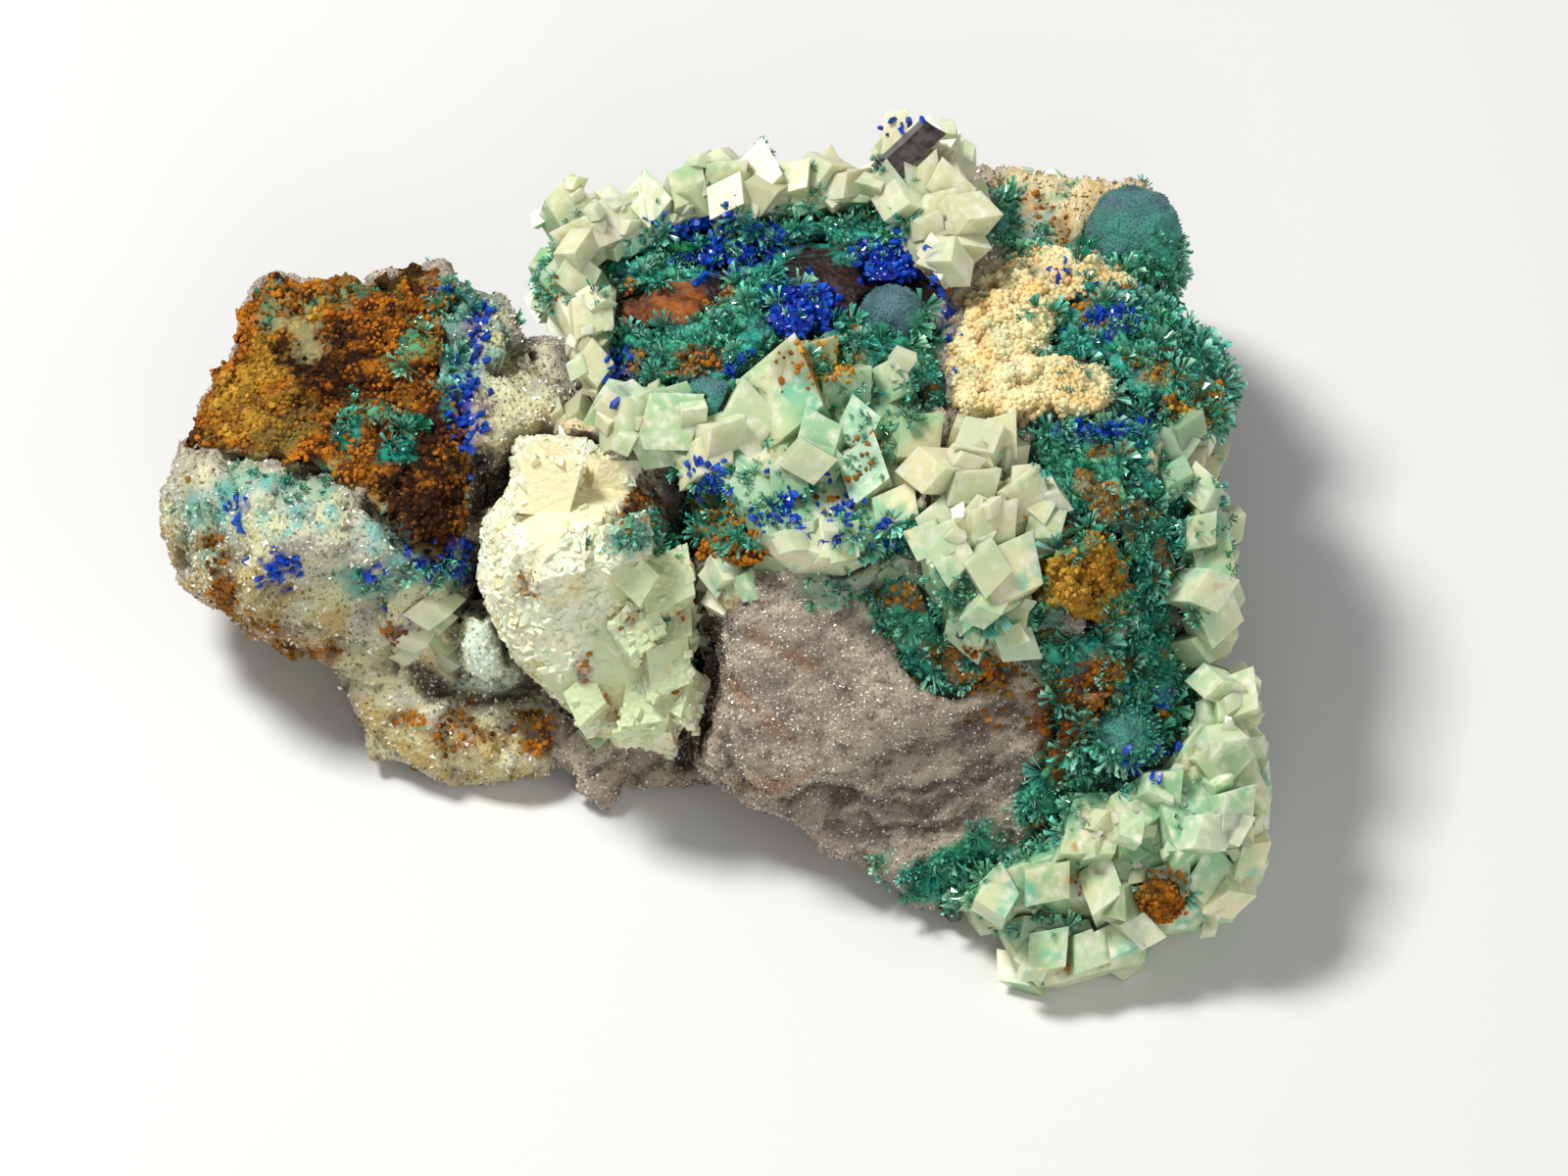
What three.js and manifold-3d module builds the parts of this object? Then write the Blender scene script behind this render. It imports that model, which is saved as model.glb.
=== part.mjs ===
// A hand specimen of tyrolite and azurite on carbonate rock, in millimetres, +Z up, on its flat broken base.
// Most forms are drawn on the specimen's display face, which leans back: x runs across the face, v up it and
// w out of it.
import * as THREE from "three";
import { mergeVertices } from "three/addons/utils/BufferGeometryUtils.js";
import Module from "manifold-3d";

const wasm = await Module();
wasm.setup();

// Driving dimensions
const FACE_LEAN = 40; // degrees that the display face leans back from upright
const FACE_ORIGIN = [0.1, -2, 16]; // the face frame's origin, from the middle of the base
const SEAT_GAP = 0.35; // clearance between two pieces that are seated in each other
const THINNING = 0.05; // how far a corner may leave the faces it stood for when spare corners are taken out
const RHOMB_ANGLE = 75; // degrees between the edges of a carbonate cleavage rhomb
const CRUST_DEPTH = 1.7; // how far a crust is rooted in the rock
const RIM_SOFTNESS = 4; // power of the rounding between a stone's rim and its front
const FINE = 3.4; // spacing of the points round a small lump's outline
const MEDIUM = 4.6;
const COARSE = 5.6;

const COLOURS = {
  greyRock: "#8f857e",
  paleRhomb: "#c9cfa2",
  creamRhomb: "#e2d9b0",
  creamCrust: "#dfc48c",
  tyrolite: "#1e9c83",
  azurite: "#1a2fb4",
  limonite: "#a8631f",
  ochre: "#b18a38",
  ironstone: "#3f2115",
  greyBall: "#476068",
  smoky: "#3a2a22",
};
const DULL = { roughness: 0.7, metalness: 0, flatShading: true };

// Small tools: a seeded random stream, and a smooth ripple of about one unit
function randomStream(seed) {
  let state = seed;
  return () => {
    state = (state + 0x6d2b79f5) | 0;
    let t = Math.imul(state ^ (state >>> 15), 1 | state);
    t = (t + Math.imul(t ^ (t >>> 7), 61 | t)) ^ t;
    return ((t ^ (t >>> 14)) >>> 0) / 4294967296;
  };
}

function latticeValue(i, j, seed) {
  return randomStream(i * 7349 + j * 9151 + seed * 613)() * 2 - 1;
}

function ripple(x, v, length, seed) {
  const [u, t] = [x / length, v / length];
  const [i, j] = [Math.floor(u), Math.floor(t)];
  const ease = (k) => k * k * (3 - 2 * k);
  const [a, b] = [ease(u - i), ease(t - j)];
  const low = latticeValue(i, j, seed) * (1 - a) + latticeValue(i + 1, j, seed) * a;
  const high = latticeValue(i, j + 1, seed) * (1 - a) + latticeValue(i + 1, j + 1, seed) * a;
  return low * (1 - b) + high * b;
}

const planeAt = ([c, gx, gv], x, v) => c + gx * x + gv * v;
const lowestPlane = (planes, x, v) => Math.min(...planes.map((plane) => planeAt(plane, x, v)));

// Outlines: the middle, a point by its share of the way round, and how far a point lies from middle to edge
function middleOf(outline) {
  const box = new THREE.Box2().setFromPoints(outline.map(([x, v]) => new THREE.Vector2(x, v)));
  return box.getCenter(new THREE.Vector2()).toArray();
}

function anticlockwise(outline) {
  const clockwise = THREE.ShapeUtils.isClockWise(outline.map(([x, v]) => new THREE.Vector2(x, v)));
  return clockwise ? [...outline].reverse() : outline;
}

function pointRound(outline, share) {
  const lengths = outline.map(([x, v], i) => {
    const [nx, nv] = outline[(i + 1) % outline.length];
    return Math.hypot(nx - x, nv - v);
  });
  let left = share * lengths.reduce((a, b) => a + b, 0);
  let i = 0;
  while (left > lengths[i] && i < outline.length - 1) left -= lengths[i++];
  const [[x, v], [nx, nv]] = [outline[i], outline[(i + 1) % outline.length]];
  const k = left / lengths[i];
  return [x + (nx - x) * k, v + (nv - v) * k];
}

function perimeter(outline) {
  return outline.reduce((sum, [x, v], i) => {
    const [nx, nv] = outline[(i + 1) % outline.length];
    return sum + Math.hypot(nx - x, nv - v);
  }, 0);
}

function cornerWays(outline) {
  const total = perimeter(outline);
  let gone = 0;
  return outline.map(([x, v], i) => {
    const way = gone / total;
    const [nx, nv] = outline[(i + 1) % outline.length];
    gone += Math.hypot(nx - x, nv - v);
    return way;
  });
}

function shareOut(stone, x, v) {
  const [dx, dv] = [x - stone.middle[0], v - stone.middle[1]];
  let share = 0;
  stone.outline.forEach(([px, pv], i) => {
    const [qx, qv] = stone.outline[(i + 1) % stone.outline.length];
    const [ax, av] = [px - stone.middle[0], pv - stone.middle[1]];
    const [ex, ev] = [qx - px, qv - pv];
    const turn = dx * ev - dv * ex;
    if (Math.abs(turn) < 1e-9) return;
    const reach = (ax * ev - av * ex) / turn;
    const along = (ax * dv - av * dx) / turn;
    if (reach > 0 && along >= 0 && along <= 1) share = Math.max(share, 1 / reach);
  });
  return share;
}

// A stone is a closed pillow: its rim follows the outline, its front and back rise from the rim.
// rim, front and back give w at (x, v), as functions or planes. Of several front planes the lowest holds.
function stone(spec) {
  const made = { rough: 0.6, grain: 7, step: MEDIUM, seed: 1, ...spec };
  made.outline = anticlockwise(spec.outline);
  made.middle = spec.middle ?? middleOf(spec.outline);
  const rim = typeof spec.rim === "function" ? spec.rim : (x, v) => planeAt(spec.rim, x, v);
  const noise = (x, v) =>
    made.rough * (ripple(x, v, made.grain, made.seed) + 0.5 * ripple(x, v, made.grain / 2.3, made.seed + 9));
  const lift = (share) => (1 - Math.min(share, 1) ** RIM_SOFTNESS) ** (1 / RIM_SOFTNESS);
  made.frontAt = (x, v, share = shareOut(made, x, v)) => {
    const top = typeof spec.front === "function" ? spec.front(x, v) : lowestPlane(spec.front, x, v);
    return rim(x, v) + (top - rim(x, v) + noise(x, v)) * lift(share);
  };
  made.backAt = (x, v, share) => {
    const low = typeof spec.back === "function" ? spec.back(x, v) : spec.back;
    return rim(x, v) + (low - rim(x, v)) * lift(share);
  };
  made.holds = (x, v) => shareOut(made, x, v) < 1;
  return made;
}

const FRONT_SHARES = [0.97, 0.86, 0.68, 0.45, 0.22];
const BACK_SHARE = 0.8;

// A closed mesh of a stone
function stoneMesh(made) {
  const positions = [];
  const faces = [];
  const [mx, mv] = made.middle;
  const ring = (share, ways, height) =>
    ways.map((way) => {
      const [ox, ov] = pointRound(made.outline, way);
      const [x, v] = [mx + (ox - mx) * share, mv + (ov - mv) * share];
      positions.push(x, v, height(x, v, share));
      return { way, index: positions.length / 3 - 1 };
    });
  const zip = (outer, inner, outwards) => {
    const around = (list, k) => list[k % list.length].index;
    const middleWay = (list, k) => (k === list.length ? 2 : (list[k].way + (list[k + 1]?.way ?? 1)) / 2);
    let [i, j] = [0, 0];
    while (i < outer.length || j < inner.length) {
      const [a, b] = [around(outer, i), around(inner, j)];
      const c = middleWay(outer, i) <= middleWay(inner, j) ? around(outer, ++i) : around(inner, ++j);
      faces.push(...(outwards ? [a, c, b] : [a, b, c]));
    }
  };
  const cap = (outer, height, outwards) => {
    const tip = positions.length / 3;
    positions.push(mx, mv, height(mx, mv, 0));
    outer.forEach(({ index: a }, i) => {
      const b = outer[(i + 1) % outer.length].index;
      faces.push(...(outwards ? [a, b, tip] : [b, a, tip]));
    });
  };
  const evenWays = (share, least) => {
    const number = Math.max(least, Math.round((perimeter(made.outline) / made.step) * share));
    return Array.from({ length: number }, (_, i) => i / number);
  };
  const rim = ring(1, cornerWays(made.outline), made.frontAt);
  const small = perimeter(made.outline) / made.step < 14;
  let last = rim;
  for (const share of FRONT_SHARES.filter((_, i) => !small || i % 2 === 1)) {
    const next = ring(share, evenWays(share, 6), made.frontAt);
    zip(last, next, true);
    last = next;
  }
  cap(last, made.frontAt, true);
  const backRing = ring(BACK_SHARE, evenWays(BACK_SHARE / 2, 5), made.backAt);
  zip(rim, backRing, false);
  cap(backRing, made.backAt, false);
  const geometry = new THREE.BufferGeometry();
  geometry.setAttribute("position", new THREE.Float32BufferAttribute(positions, 3));
  geometry.setIndex(faces);
  return geometry;
}

// A mesh with its surface moved outwards
function swollen(geometry, extra) {
  const grown = mergeVertices(bareOf(geometry), 1e-4);
  grown.computeVertexNormals();
  const { position, normal } = grown.attributes;
  for (let i = 0; i < position.count; i++) {
    position.setXYZ(
      i,
      position.getX(i) + normal.getX(i) * extra,
      position.getY(i) + normal.getY(i) * extra,
      position.getZ(i) + normal.getZ(i) * extra,
    );
  }
  return grown;
}

function bareOf(geometry) {
  const bare = geometry.clone();
  bare.deleteAttribute("normal");
  bare.deleteAttribute("uv");
  return bare;
}

// A cleavage rhomb: a box sheared to the mineral's own angle
function rhombMesh({ size, turn, tilt, yaw, at }, extra) {
  const cosine = Math.cos(THREE.MathUtils.degToRad(RHOMB_ANGLE));
  const second = new THREE.Vector3(cosine, Math.sqrt(1 - cosine ** 2), 0);
  const thirdY = (cosine - cosine * second.x) / second.y;
  const third = new THREE.Vector3(cosine, thirdY, Math.sqrt(1 - cosine ** 2 - thirdY ** 2));
  const [a, b, c] = size.map((edge) => edge + 2 * extra);
  const shear = new THREE.Matrix4().makeBasis(new THREE.Vector3(1, 0, 0), second, third);
  const rotate = new THREE.Matrix4().makeRotationFromEuler(
    new THREE.Euler(...[tilt, yaw, turn].map(THREE.MathUtils.degToRad)),
  );
  const geometry = new THREE.BoxGeometry(a, b, c);
  geometry.applyMatrix4(shear).applyMatrix4(rotate).translate(...at);
  return geometry;
}

// Solids
function solidOf(geometry) {
  const merged = mergeVertices(bareOf(geometry), 1e-4);
  return new wasm.Manifold(
    new wasm.Mesh({
      numProp: 3,
      vertProperties: new Float32Array(merged.attributes.position.array),
      triVerts: new Uint32Array(merged.index.array),
    }),
  );
}

const joined = (solids) => solids.reduce((sum, solid) => sum.add(solid));

// A triangle mesh with the corners that its flat and nearly flat parts don't need taken out.
// Every corner carries the planes of the faces it stood for, and misses none of them by more than slack.
function thinned(corners, triangles, slack) {
  const points = corners.map(([x, y, z]) => new THREE.Vector3(x, y, z));
  const faces = triangles.map((face) => [...face]);
  const around = points.map(() => new Set());
  const planes = points.map(() => []);
  const edge = (a, b) => new THREE.Vector3().subVectors(points[b], points[a]);
  const normalOf = ([a, b, c]) => edge(a, b).cross(edge(a, c));
  faces.forEach((face, number) => {
    const normal = normalOf(face);
    const area = normal.length();
    face.forEach((corner) => {
      around[corner].add(number);
      if (area < 1e-6) return;
      const plane = new THREE.Plane(normal.clone().divideScalar(area), 0);
      planes[corner].push(plane.translate(points[face[0]]));
    });
  });
  const neighbours = (corner) =>
    new Set([...around[corner]].flatMap((n) => faces[n]).filter((k) => k !== corner));
  const canMove = (from, to, allowed) => {
    if (planes[from].some((plane) => Math.abs(plane.distanceToPoint(points[to])) > allowed)) return false;
    const shared = [...neighbours(from)].filter((k) => neighbours(to).has(k));
    if (shared.length !== 2) return false;
    return [...around[from]].every((n) => {
      if (faces[n].includes(to)) return true;
      const before = normalOf(faces[n]);
      const after = normalOf(faces[n].map((k) => (k === from ? to : k)));
      return after.length() > 1e-3 && before.dot(after) > 0.2 * before.length() * after.length();
    });
  };
  const move = (from, to) => {
    for (const n of around[from]) {
      if (faces[n].includes(to)) {
        faces[n].forEach((k) => k !== from && around[k].delete(n));
        faces[n] = [];
      } else {
        faces[n] = faces[n].map((k) => (k === from ? to : k));
        around[to].add(n);
      }
    }
    around[from].clear();
    planes[to].push(...planes[from]);
  };
  for (const allowed of [slack / 20, slack / 4, slack / 2, slack, slack]) {
    for (let from = 0; from < points.length; from++) {
      const nearest = [...neighbours(from)].sort(
        (a, b) => points[a].distanceToSquared(points[from]) - points[b].distanceToSquared(points[from]),
      );
      const to = nearest.find((k) => canMove(from, k, allowed));
      if (to !== undefined) move(from, to);
    }
  }
  partCorners(points, neighbours);
  return { points, faces: faces.filter((face) => face.length) };
}

// Two corners that only touch are drawn a little apart, each towards its own neighbours
function partCorners(points, neighbours) {
  const taken = new Set();
  points.forEach((point, corner) => {
    const beside = [...neighbours(corner)];
    if (!beside.length) return;
    const place = point.toArray().map((value) => value.toFixed(2)).join(" ");
    if (taken.has(place)) {
      const sum = beside.reduce((total, k) => total.add(points[k]), new THREE.Vector3());
      point.lerp(sum.divideScalar(beside.length), 0.05);
    }
    taken.add(place);
  });
}

function geometryOf(solid) {
  const mesh = solid.getMesh();
  const inThrees = (list) =>
    Array.from({ length: list.length / 3 }, (_, i) => [...list.slice(3 * i, 3 * i + 3)]);
  const { points, faces } = thinned(inThrees(mesh.vertProperties), inThrees(mesh.triVerts), THINNING);
  const geometry = new THREE.BufferGeometry().setFromPoints(points);
  geometry.setIndex(faces.flat());
  return geometry;
}

// The lean takes the face frame to the specimen's own frame
const lean = new THREE.Matrix4()
  .makeTranslation(...FACE_ORIGIN)
  .multiply(new THREE.Matrix4().makeRotationX(THREE.MathUtils.degToRad(FACE_LEAN)));
const unlean = lean.clone().invert();

// Stones drawn on the face: the left block, its ledge, the slabs and the main mass
const leftBlock = stone({
  outline: [
    [-37.4, 21.7], [-35.9, 22.9], [-34.4, 22.2], [-28.6, 21.6], [-25.5, 23.4], [-22.6, 23.3], [-20.0, 21.7],
    [-17.6, 20.5], [-16.4, 17.1], [-13.4, 13.0], [-10.2, 12.1], [-11.0, 9.6], [-16.6, 8.4], [-18.6, 4.7],
    [-19.1, -3.3], [-19.9, -7.3], [-21.0, -10.9], [-26.2, -10.5], [-30.2, -9.5], [-35.0, -8.1],
    [-37.5, -7.4],
    [-39.3, -6.2], [-41.4, -4.6], [-43.4, -2.1], [-45.4, 2.7], [-44.3, 6.1], [-41.9, 11.3], [-39.9, 15.7],
  ],
  middle: [-29, 6.5],
  rim: [-7.5, 0, -0.2],
  front: [[10, 0, -0.8], [9, 0, 0.75], [26, 0.5, 0]],
  back: -24,
  rough: 0.8,
  step: COARSE,
  seed: 3,
});
const leftLedge = stone({
  outline: [
    [-31.0, -9.0], [-26.2, -9.0], [-22.0, -10.0], [-17.0, -10.0], [-13.4, -12.5], [-12.6, -14.9],
    [-13.0, -18.5],
    [-16.6, -19.2], [-20.2, -19.6], [-23.2, -18.6], [-24.8, -17.2], [-27.7, -17.0], [-28.6, -14.3],
    [-29.9, -12.7],
  ],
  rim: [-3.8, 0, 0],
  front: [[0.2, 0, 0.05]],
  back: -12,
  rough: 0.7,
  seed: 5,
});
const whiteWedge = stone({
  outline: [
    [-19.4, -4.1], [-17.8, -5.3], [-17.0, -8.1], [-15.8, -10.5], [-17.8, -11.7], [-20.2, -10.9],
    [-20.6, -8.9], [-20.2, -6.5],
  ],
  rim: [-3, 0, 0],
  front: [[6.5, 0, 0.2]],
  back: -9,
  rough: 0.4,
  step: FINE,
  seed: 6,
});
const pointedSlab = stone({
  outline: [
    [-15.0, -9.0], [-9.0, -9.0], [-5.2, -13.6], [-6.4, -17.5], [-7.2, -19.6], [-8.6, -22.0],
    [-10.6, -20.1], [-13.2, -16.9],
  ],
  rim: [-5.4, 0, -0.13],
  front: [[-2.0, 0.1, -0.13]],
  back: -9,
  rough: 0.3,
  seed: 7,
});
const lowSlab = stone({
  outline: [[-8.0, -12.0], [0, -12], [5, -17.5], [3.5, -20.2], [0.0, -19.2], [-3.0, -19.6], [-6.4, -19.8]],
  rim: [-3.8, 0, 0],
  front: [[-1.8, 0, 0]],
  back: -10,
  rough: 0.4,
  seed: 8,
});
const backSlab = stone({
  outline: [
    [-17.5, 13.5], [-15.0, 16.4], [-14.4, 17.1], [-11.4, 17.2], [-8.0, 15.0], [-7.5, 8.5], [-12.0, 8.0],
    [-16.6, 8.5],
  ],
  rim: [-14, 0, 0],
  front: [[-5.5, 0.2, 0]],
  back: -24,
  rough: 0.3,
  seed: 9,
});
const gapSlab = stone({
  outline: [
    [-12.5, 10.5], [-8.5, 11.0], [-5.0, 8.6], [-2.0, 6.0], [-0.5, 0], [-5.0, 1.0], [-9.0, 4.0], [-12.5, 5.0],
  ],
  rim: [-2, 0, 0],
  front: [[6.5, 0.1, -0.1]],
  back: -12,
  rough: 0.4,
  seed: 10,
});
const mainMass = stone({
  outline: [
    [-11.8, 26.5], [-7.0, 27.7], [-2.2, 28.9], [2.6, 29.5], [8.2, 29.7], [13.8, 29.9], [18.6, 29.5],
    [21.4, 27.3],
    [22.6, 24.5], [25.0, 23.3], [29.8, 24.6], [34.2, 22.7], [37.6, 18.9], [40.8, 16.3], [42.1, 12.9],
    [41.4, 9.5],
    [40.0, 6.3], [41.2, 4.7], [41.2, -3.3], [40.4, -8.1], [41.2, -14.5], [42.0, -19.3], [41.8, -24.9],
    [39.4, -28.2],
    [34.6, -29.4], [25.0, -29.6], [18.2, -30.1], [13.8, -27.6], [9.4, -24.5], [5.5, -22.0], [2.8, -20.5],
    [-1.0, -17.5], [-1.8, -14.5], [-0.4, -11.3], [-0.6, -6.5], [-1.8, -2.5], [-2.0, 4.7], [-4.4, 7.1],
    [-7.0, 8.3], [-9.2, 10.7], [-10.4, 12.7], [-12.2, 17.1], [-12.4, 19.9], [-13.4, 23.4],
  ],
  middle: [14, 3],
  rim: [-3, 0, -0.33],
  front: [[21, 0, -0.72], [20.5, 0.06, 0.5], [46, -0.85, 0.1], [24, 0.45, 0.1]],
  back: -18,
  rough: 0.9,
  grain: 9,
  step: COARSE,
  seed: 11,
});
const topRightBlock = stone({
  outline: [
    [20.6, 30.6], [22.4, 32.0], [24.2, 32.0], [26.6, 30.9], [29.0, 31.2], [36.2, 30.4], [37.2, 27.9],
    [38.4, 27.2], [38.8, 23.9],
    [37.9, 18.3], [35.4, 16.5], [29.8, 19.0], [21.8, 19.5], [20.0, 25.5],
  ],
  rim: [-15, 0, -0.1],
  front: [[15, 0, -0.95], [28, -0.85, 0]],
  back: -27,
  rough: 0.6,
  seed: 12,
});

// Stones drawn in plan: the two roots of the rock that carry it, cut off flat at the base
function planStone(spec) {
  const made = stone(spec);
  const flat = stoneMesh(made).applyMatrix4(unlean);
  return solidOf(flat);
}
const rightRoot = planStone({
  outline: [
    [-9, -8], [-3, -9.5], [5, -12], [10, -16], [15, -20], [24, -24], [36, -22], [39.5, -10], [39.5, 4],
    [37, 13],
    [35.5, 27], [22, 31], [5, 31], [-7, 28], [-10, 18], [-12, 5],
  ],
  middle: [14, 5],
  rim: [8, 0, 0],
  front: [[20, 0, 0.1]],
  back: -6,
  rough: 1,
  grain: 8,
  step: COARSE,
  seed: 21,
});
const leftRoot = planStone({
  outline: [
    [-39, 12], [-36, 6], [-30, -2], [-25, -8], [-14, -9.5], [-5, -7], [-5, 10], [-12, 15], [-20, 19],
    [-34, 21.5], [-39, 18],
  ],
  rim: [6, 0, 0],
  front: [[15, 0, 0.15]],
  back: -6,
  rough: 0.9,
  step: COARSE,
  seed: 22,
});

const rockStones = [
  leftBlock, leftLedge, whiteWedge, pointedSlab, lowSlab, backSlab, gapSlab, mainMass, topRightBlock,
];

// The rock's front at (x, v), which every crust and crystal is seated on
function rockFront(x, v) {
  const heights = rockStones.filter((made) => made.holds(x, v)).map((made) => made.frontAt(x, v));
  return heights.length ? Math.max(...heights) : null;
}

function nearestRock(x, v, [mx, mv]) {
  for (let k = 0; k < 1; k += 0.04) {
    const height = rockFront(x + (mx - x) * k, v + (mv - v) * k);
    if (height !== null) return height;
  }
  return 0;
}

// A crust is a thin stone rooted in the rock's front, standing proud of it. One that lies well inside a host
// stone// follows the host's planes, and the others follow the rock's surface.
function crust({ proud = 0.9, deep = CRUST_DEPTH, host, ...spec }) {
  const middle = spec.middle ?? middleOf(spec.outline);
  const rim = (x, v) => (host ? lowestPlane(host.front, x, v) - 0.5 : nearestRock(x, v, middle));
  return stone({
    rough: 0.35, grain: 3.4, step: FINE, ...spec, middle, rim,
    front: (x, v) => rim(x, v) + proud,
    back: (x, v) => rim(x, v) - deep,
  });
}

// Ledges: layers of the rock that end in steps across its bare grey face
const upperLedge = crust({
  outline: [
    [1.2, -5.4], [4.0, -3.4], [9.0, -5.2], [14.0, -8.6], [18.0, -11.6], [22.6, -12.9], [19.0, -15.2],
    [14.6, -16.8],
    [12.4, -18.6], [10.2, -18.6], [8.3, -18.9], [5.4, -19.4], [2.6, -18.4], [1.2, -16.4], [1.0, -11.0],
  ],
  host: mainMass,
  proud: 1.3,
  rough: 0.5,
  step: MEDIUM,
  seed: 23,
});
const lowerLedge = crust({
  outline: [
    [14.4, -15.8], [19.0, -14.2], [23.4, -13.4], [25.2, -15.4], [23.2, -17.9], [19.0, -20.0], [16.2, -21.0],
    [13.2, -20.4], [11.6, -19.2],
  ],
  host: mainMass,
  proud: 0.5,
  rough: 0.5,
  step: MEDIUM,
  seed: 24,
});
const ledges = [upperLedge, lowerLedge];

// Crystals given as [x, v, size, turn], seated on their own lump
function rhombs(lump, seed, list, stretch = [1, 1, 1]) {
  const random = randomStream(seed);
  const between = (low, high) => low + (high - low) * random();
  return list.map(([x, v, size, turn]) => {
    const share = Math.max(1, shareOut(lump, x, v) / 0.85);
    const [mx, mv] = lump.middle;
    const height = lump.frontAt(mx + (x - mx) / share, mv + (v - mv) / share);
    return {
      size: stretch.map((k) => size * k * between(0.85, 1.1)),
      turn: turn + between(-8, 8),
      tilt: between(-22, 22),
      yaw: between(-22, 22),
      at: [x, v, height - size * 0.12],
    };
  });
}

// Lumps: the outlines of each mineral on the face
const creamLobe = stone({
  outline: [
    [-16.1, 9.0], [-10.6, 9.0], [-8.4, 7.7], [-6.1, 6.5], [-4.5, 5.1], [-3.6, 1.7], [-3.0, -2.0],
    [-1.9, -5.2],
    [-1.5, -8.0], [-1.7, -10.2], [-1.2, -12.8], [-2.6, -14.9], [-3.3, -17.2], [-5.1, -16.2], [-7.4, -16.0],
    [-9.3, -15.1], [-11.1, -13.7], [-13.9, -11.0], [-16.2, -8.9], [-17.4, -6.8], [-18.9, -3.1],
    [-18.9, -0.2],
    [-18.4, 2.9], [-16.8, 3.5], [-16.2, 5.8],
  ],
  middle: [-9.5, -3.5],
  rim: [1, 0.05, 0],
  front: [[17.5, 0, -0.5], [18, 0.05, 0.6], [24, 0.5, 0]],
  back: -10,
  rough: 0.8,
  grain: 5,
  step: MEDIUM,
  seed: 31,
});
const topRidge = stone({
  outline: [
    [-13.6, 25.9], [-12.6, 28.2], [-10.2, 27.2], [-6.8, 28.3], [-3.0, 29.6], [0.4, 30.6], [5.8, 31.2],
    [8.2, 31.0],
    [11.0, 30.2], [13.2, 29.2], [12.4, 26.9], [6.0, 26.9], [0, 26.7], [-3.4, 25.4], [-7.0, 23.2],
    [-9.4, 22.0], [-12.6, 22.8],
  ],
  middle: [-1, 28.2],
  rim: [12, 0, -0.7],
  front: [[22.4, 0, -0.7]],
  back: -14,
  rough: 0.5,
  step: MEDIUM,
  seed: 32,
});
const leftShoulder = stone({
  outline: [
    [-12.9, 24.6], [-9.0, 25.0], [-7.0, 23.2], [-7.6, 19.0], [-7.8, 14.2], [-9.4, 11.4], [-11.4, 14.6],
    [-12.6, 18.6],
    [-14.2, 19.9], [-14.5, 22.4],
  ],
  rim: [6, 0, -0.45],
  front: [[19.8, 0, -0.6]],
  back: -8,
  rough: 0.5,
  step: MEDIUM,
  seed: 33,
});
const spire = stone({
  outline: [
    [12.4, 27.7], [13.3, 32.0], [13.8, 34.2], [17.0, 34.4], [19.4, 34.0], [20.4, 31.6], [21.4, 29.4],
    [21.6, 25.0],
    [20.4, 20.7], [17.8, 20.7], [14.4, 24.7],
  ],
  rim: [-7, 0, -0.05],
  front: [[27, 0, -0.8]],
  back: -13,
  rough: 0.6,
  grain: 4,
  step: MEDIUM,
  seed: 34,
});
const centreField = crust({
  outline: [
    [-9.2, 10.9], [-7.4, 13.0], [-3.0, 13.0], [1.0, 12.6], [3.8, 14.5], [8.2, 16.7], [13.8, 15.5],
    [17.2, 11.1],
    [17.4, 7.1], [16.0, 3.1], [13.4, -0.9], [10.6, -2.3], [6.6, -2.1], [3.6, 0.4], [0.6, 4.9],
    [-1.8, 5.6], [-5.4, 8.1],
  ],
  middle: [6, 8],
  host: mainMass,
  proud: 2.2,
  deep: 2.2,
  step: COARSE,
  seed: 35,
});
const rightField = crust({
  outline: [
    [17.8, 6.3], [20.0, 9.8], [22.2, 11.0], [24.6, 9.8], [25.2, 6.3], [26.2, 4.4], [27.6, 2.5], [25.6, 0.6],
    [24.0, -1.9], [24.6, -4.9], [25.0, -7.6], [21.8, -8.5], [18.8, -6.5], [17.2, -3.3], [16.6, -0.1],
    [17.6, 3.1],
  ],
  proud: 2.4,
  deep: 2.2,
  step: MEDIUM,
  seed: 36,
});
const rightEdge = stone({
  outline: [
    [38.2, 5.9], [40.6, 5.8], [42.2, 4.2], [42.2, -2.3], [42.2, -5.2], [40.8, -8.2], [38.0, -7.0],
    [37.6, -3.0], [38.2, 1.0],
  ],
  rim: [2, 0, -0.2],
  front: [[47.4, -0.85, 0]],
  back: -7,
  rough: 0.5,
  grain: 4,
  step: MEDIUM,
  seed: 37,
});
const lowerRight = stone({
  outline: [
    [18.6, -29.2], [22.0, -26.2], [26.4, -24.6], [29.4, -20.9], [32.0, -18.9], [36.6, -17.3],
    [38.8, -14.5], [39.8, -10.5],
    [42.4, -10.1], [43.9, -12.3], [43.2, -15.1], [45.2, -19.4], [44.4, -23.3], [43.8, -26.1], [42.2, -28.9],
    [39.6, -31.1], [35.8, -31.8], [31.0, -30.6], [25.0, -30.3],
  ],
  middle: [35.5, -24],
  rim: [6.6, 0, 0],
  front: [[20.5, -0.02, 0.2], [60, -1.0, 0]],
  back: -6,
  rough: 0.8,
  grain: 5,
  step: MEDIUM,
  seed: 38,
});
const tail = stone({
  outline: [
    [22.6, -30.0], [26.0, -28.5], [33.0, -28.5], [35.4, -31.0], [35.0, -33.6], [31.4, -34.7], [28.4, -35.6],
    [26.2, -35.7], [24.6, -35.2], [24.0, -33.0],
  ],
  rim: [9.8, 0, 0],
  front: [[13, 0, 0]],
  back: 3,
  rough: 0.4,
  grain: 4,
  step: MEDIUM,
  seed: 39,
});
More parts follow.
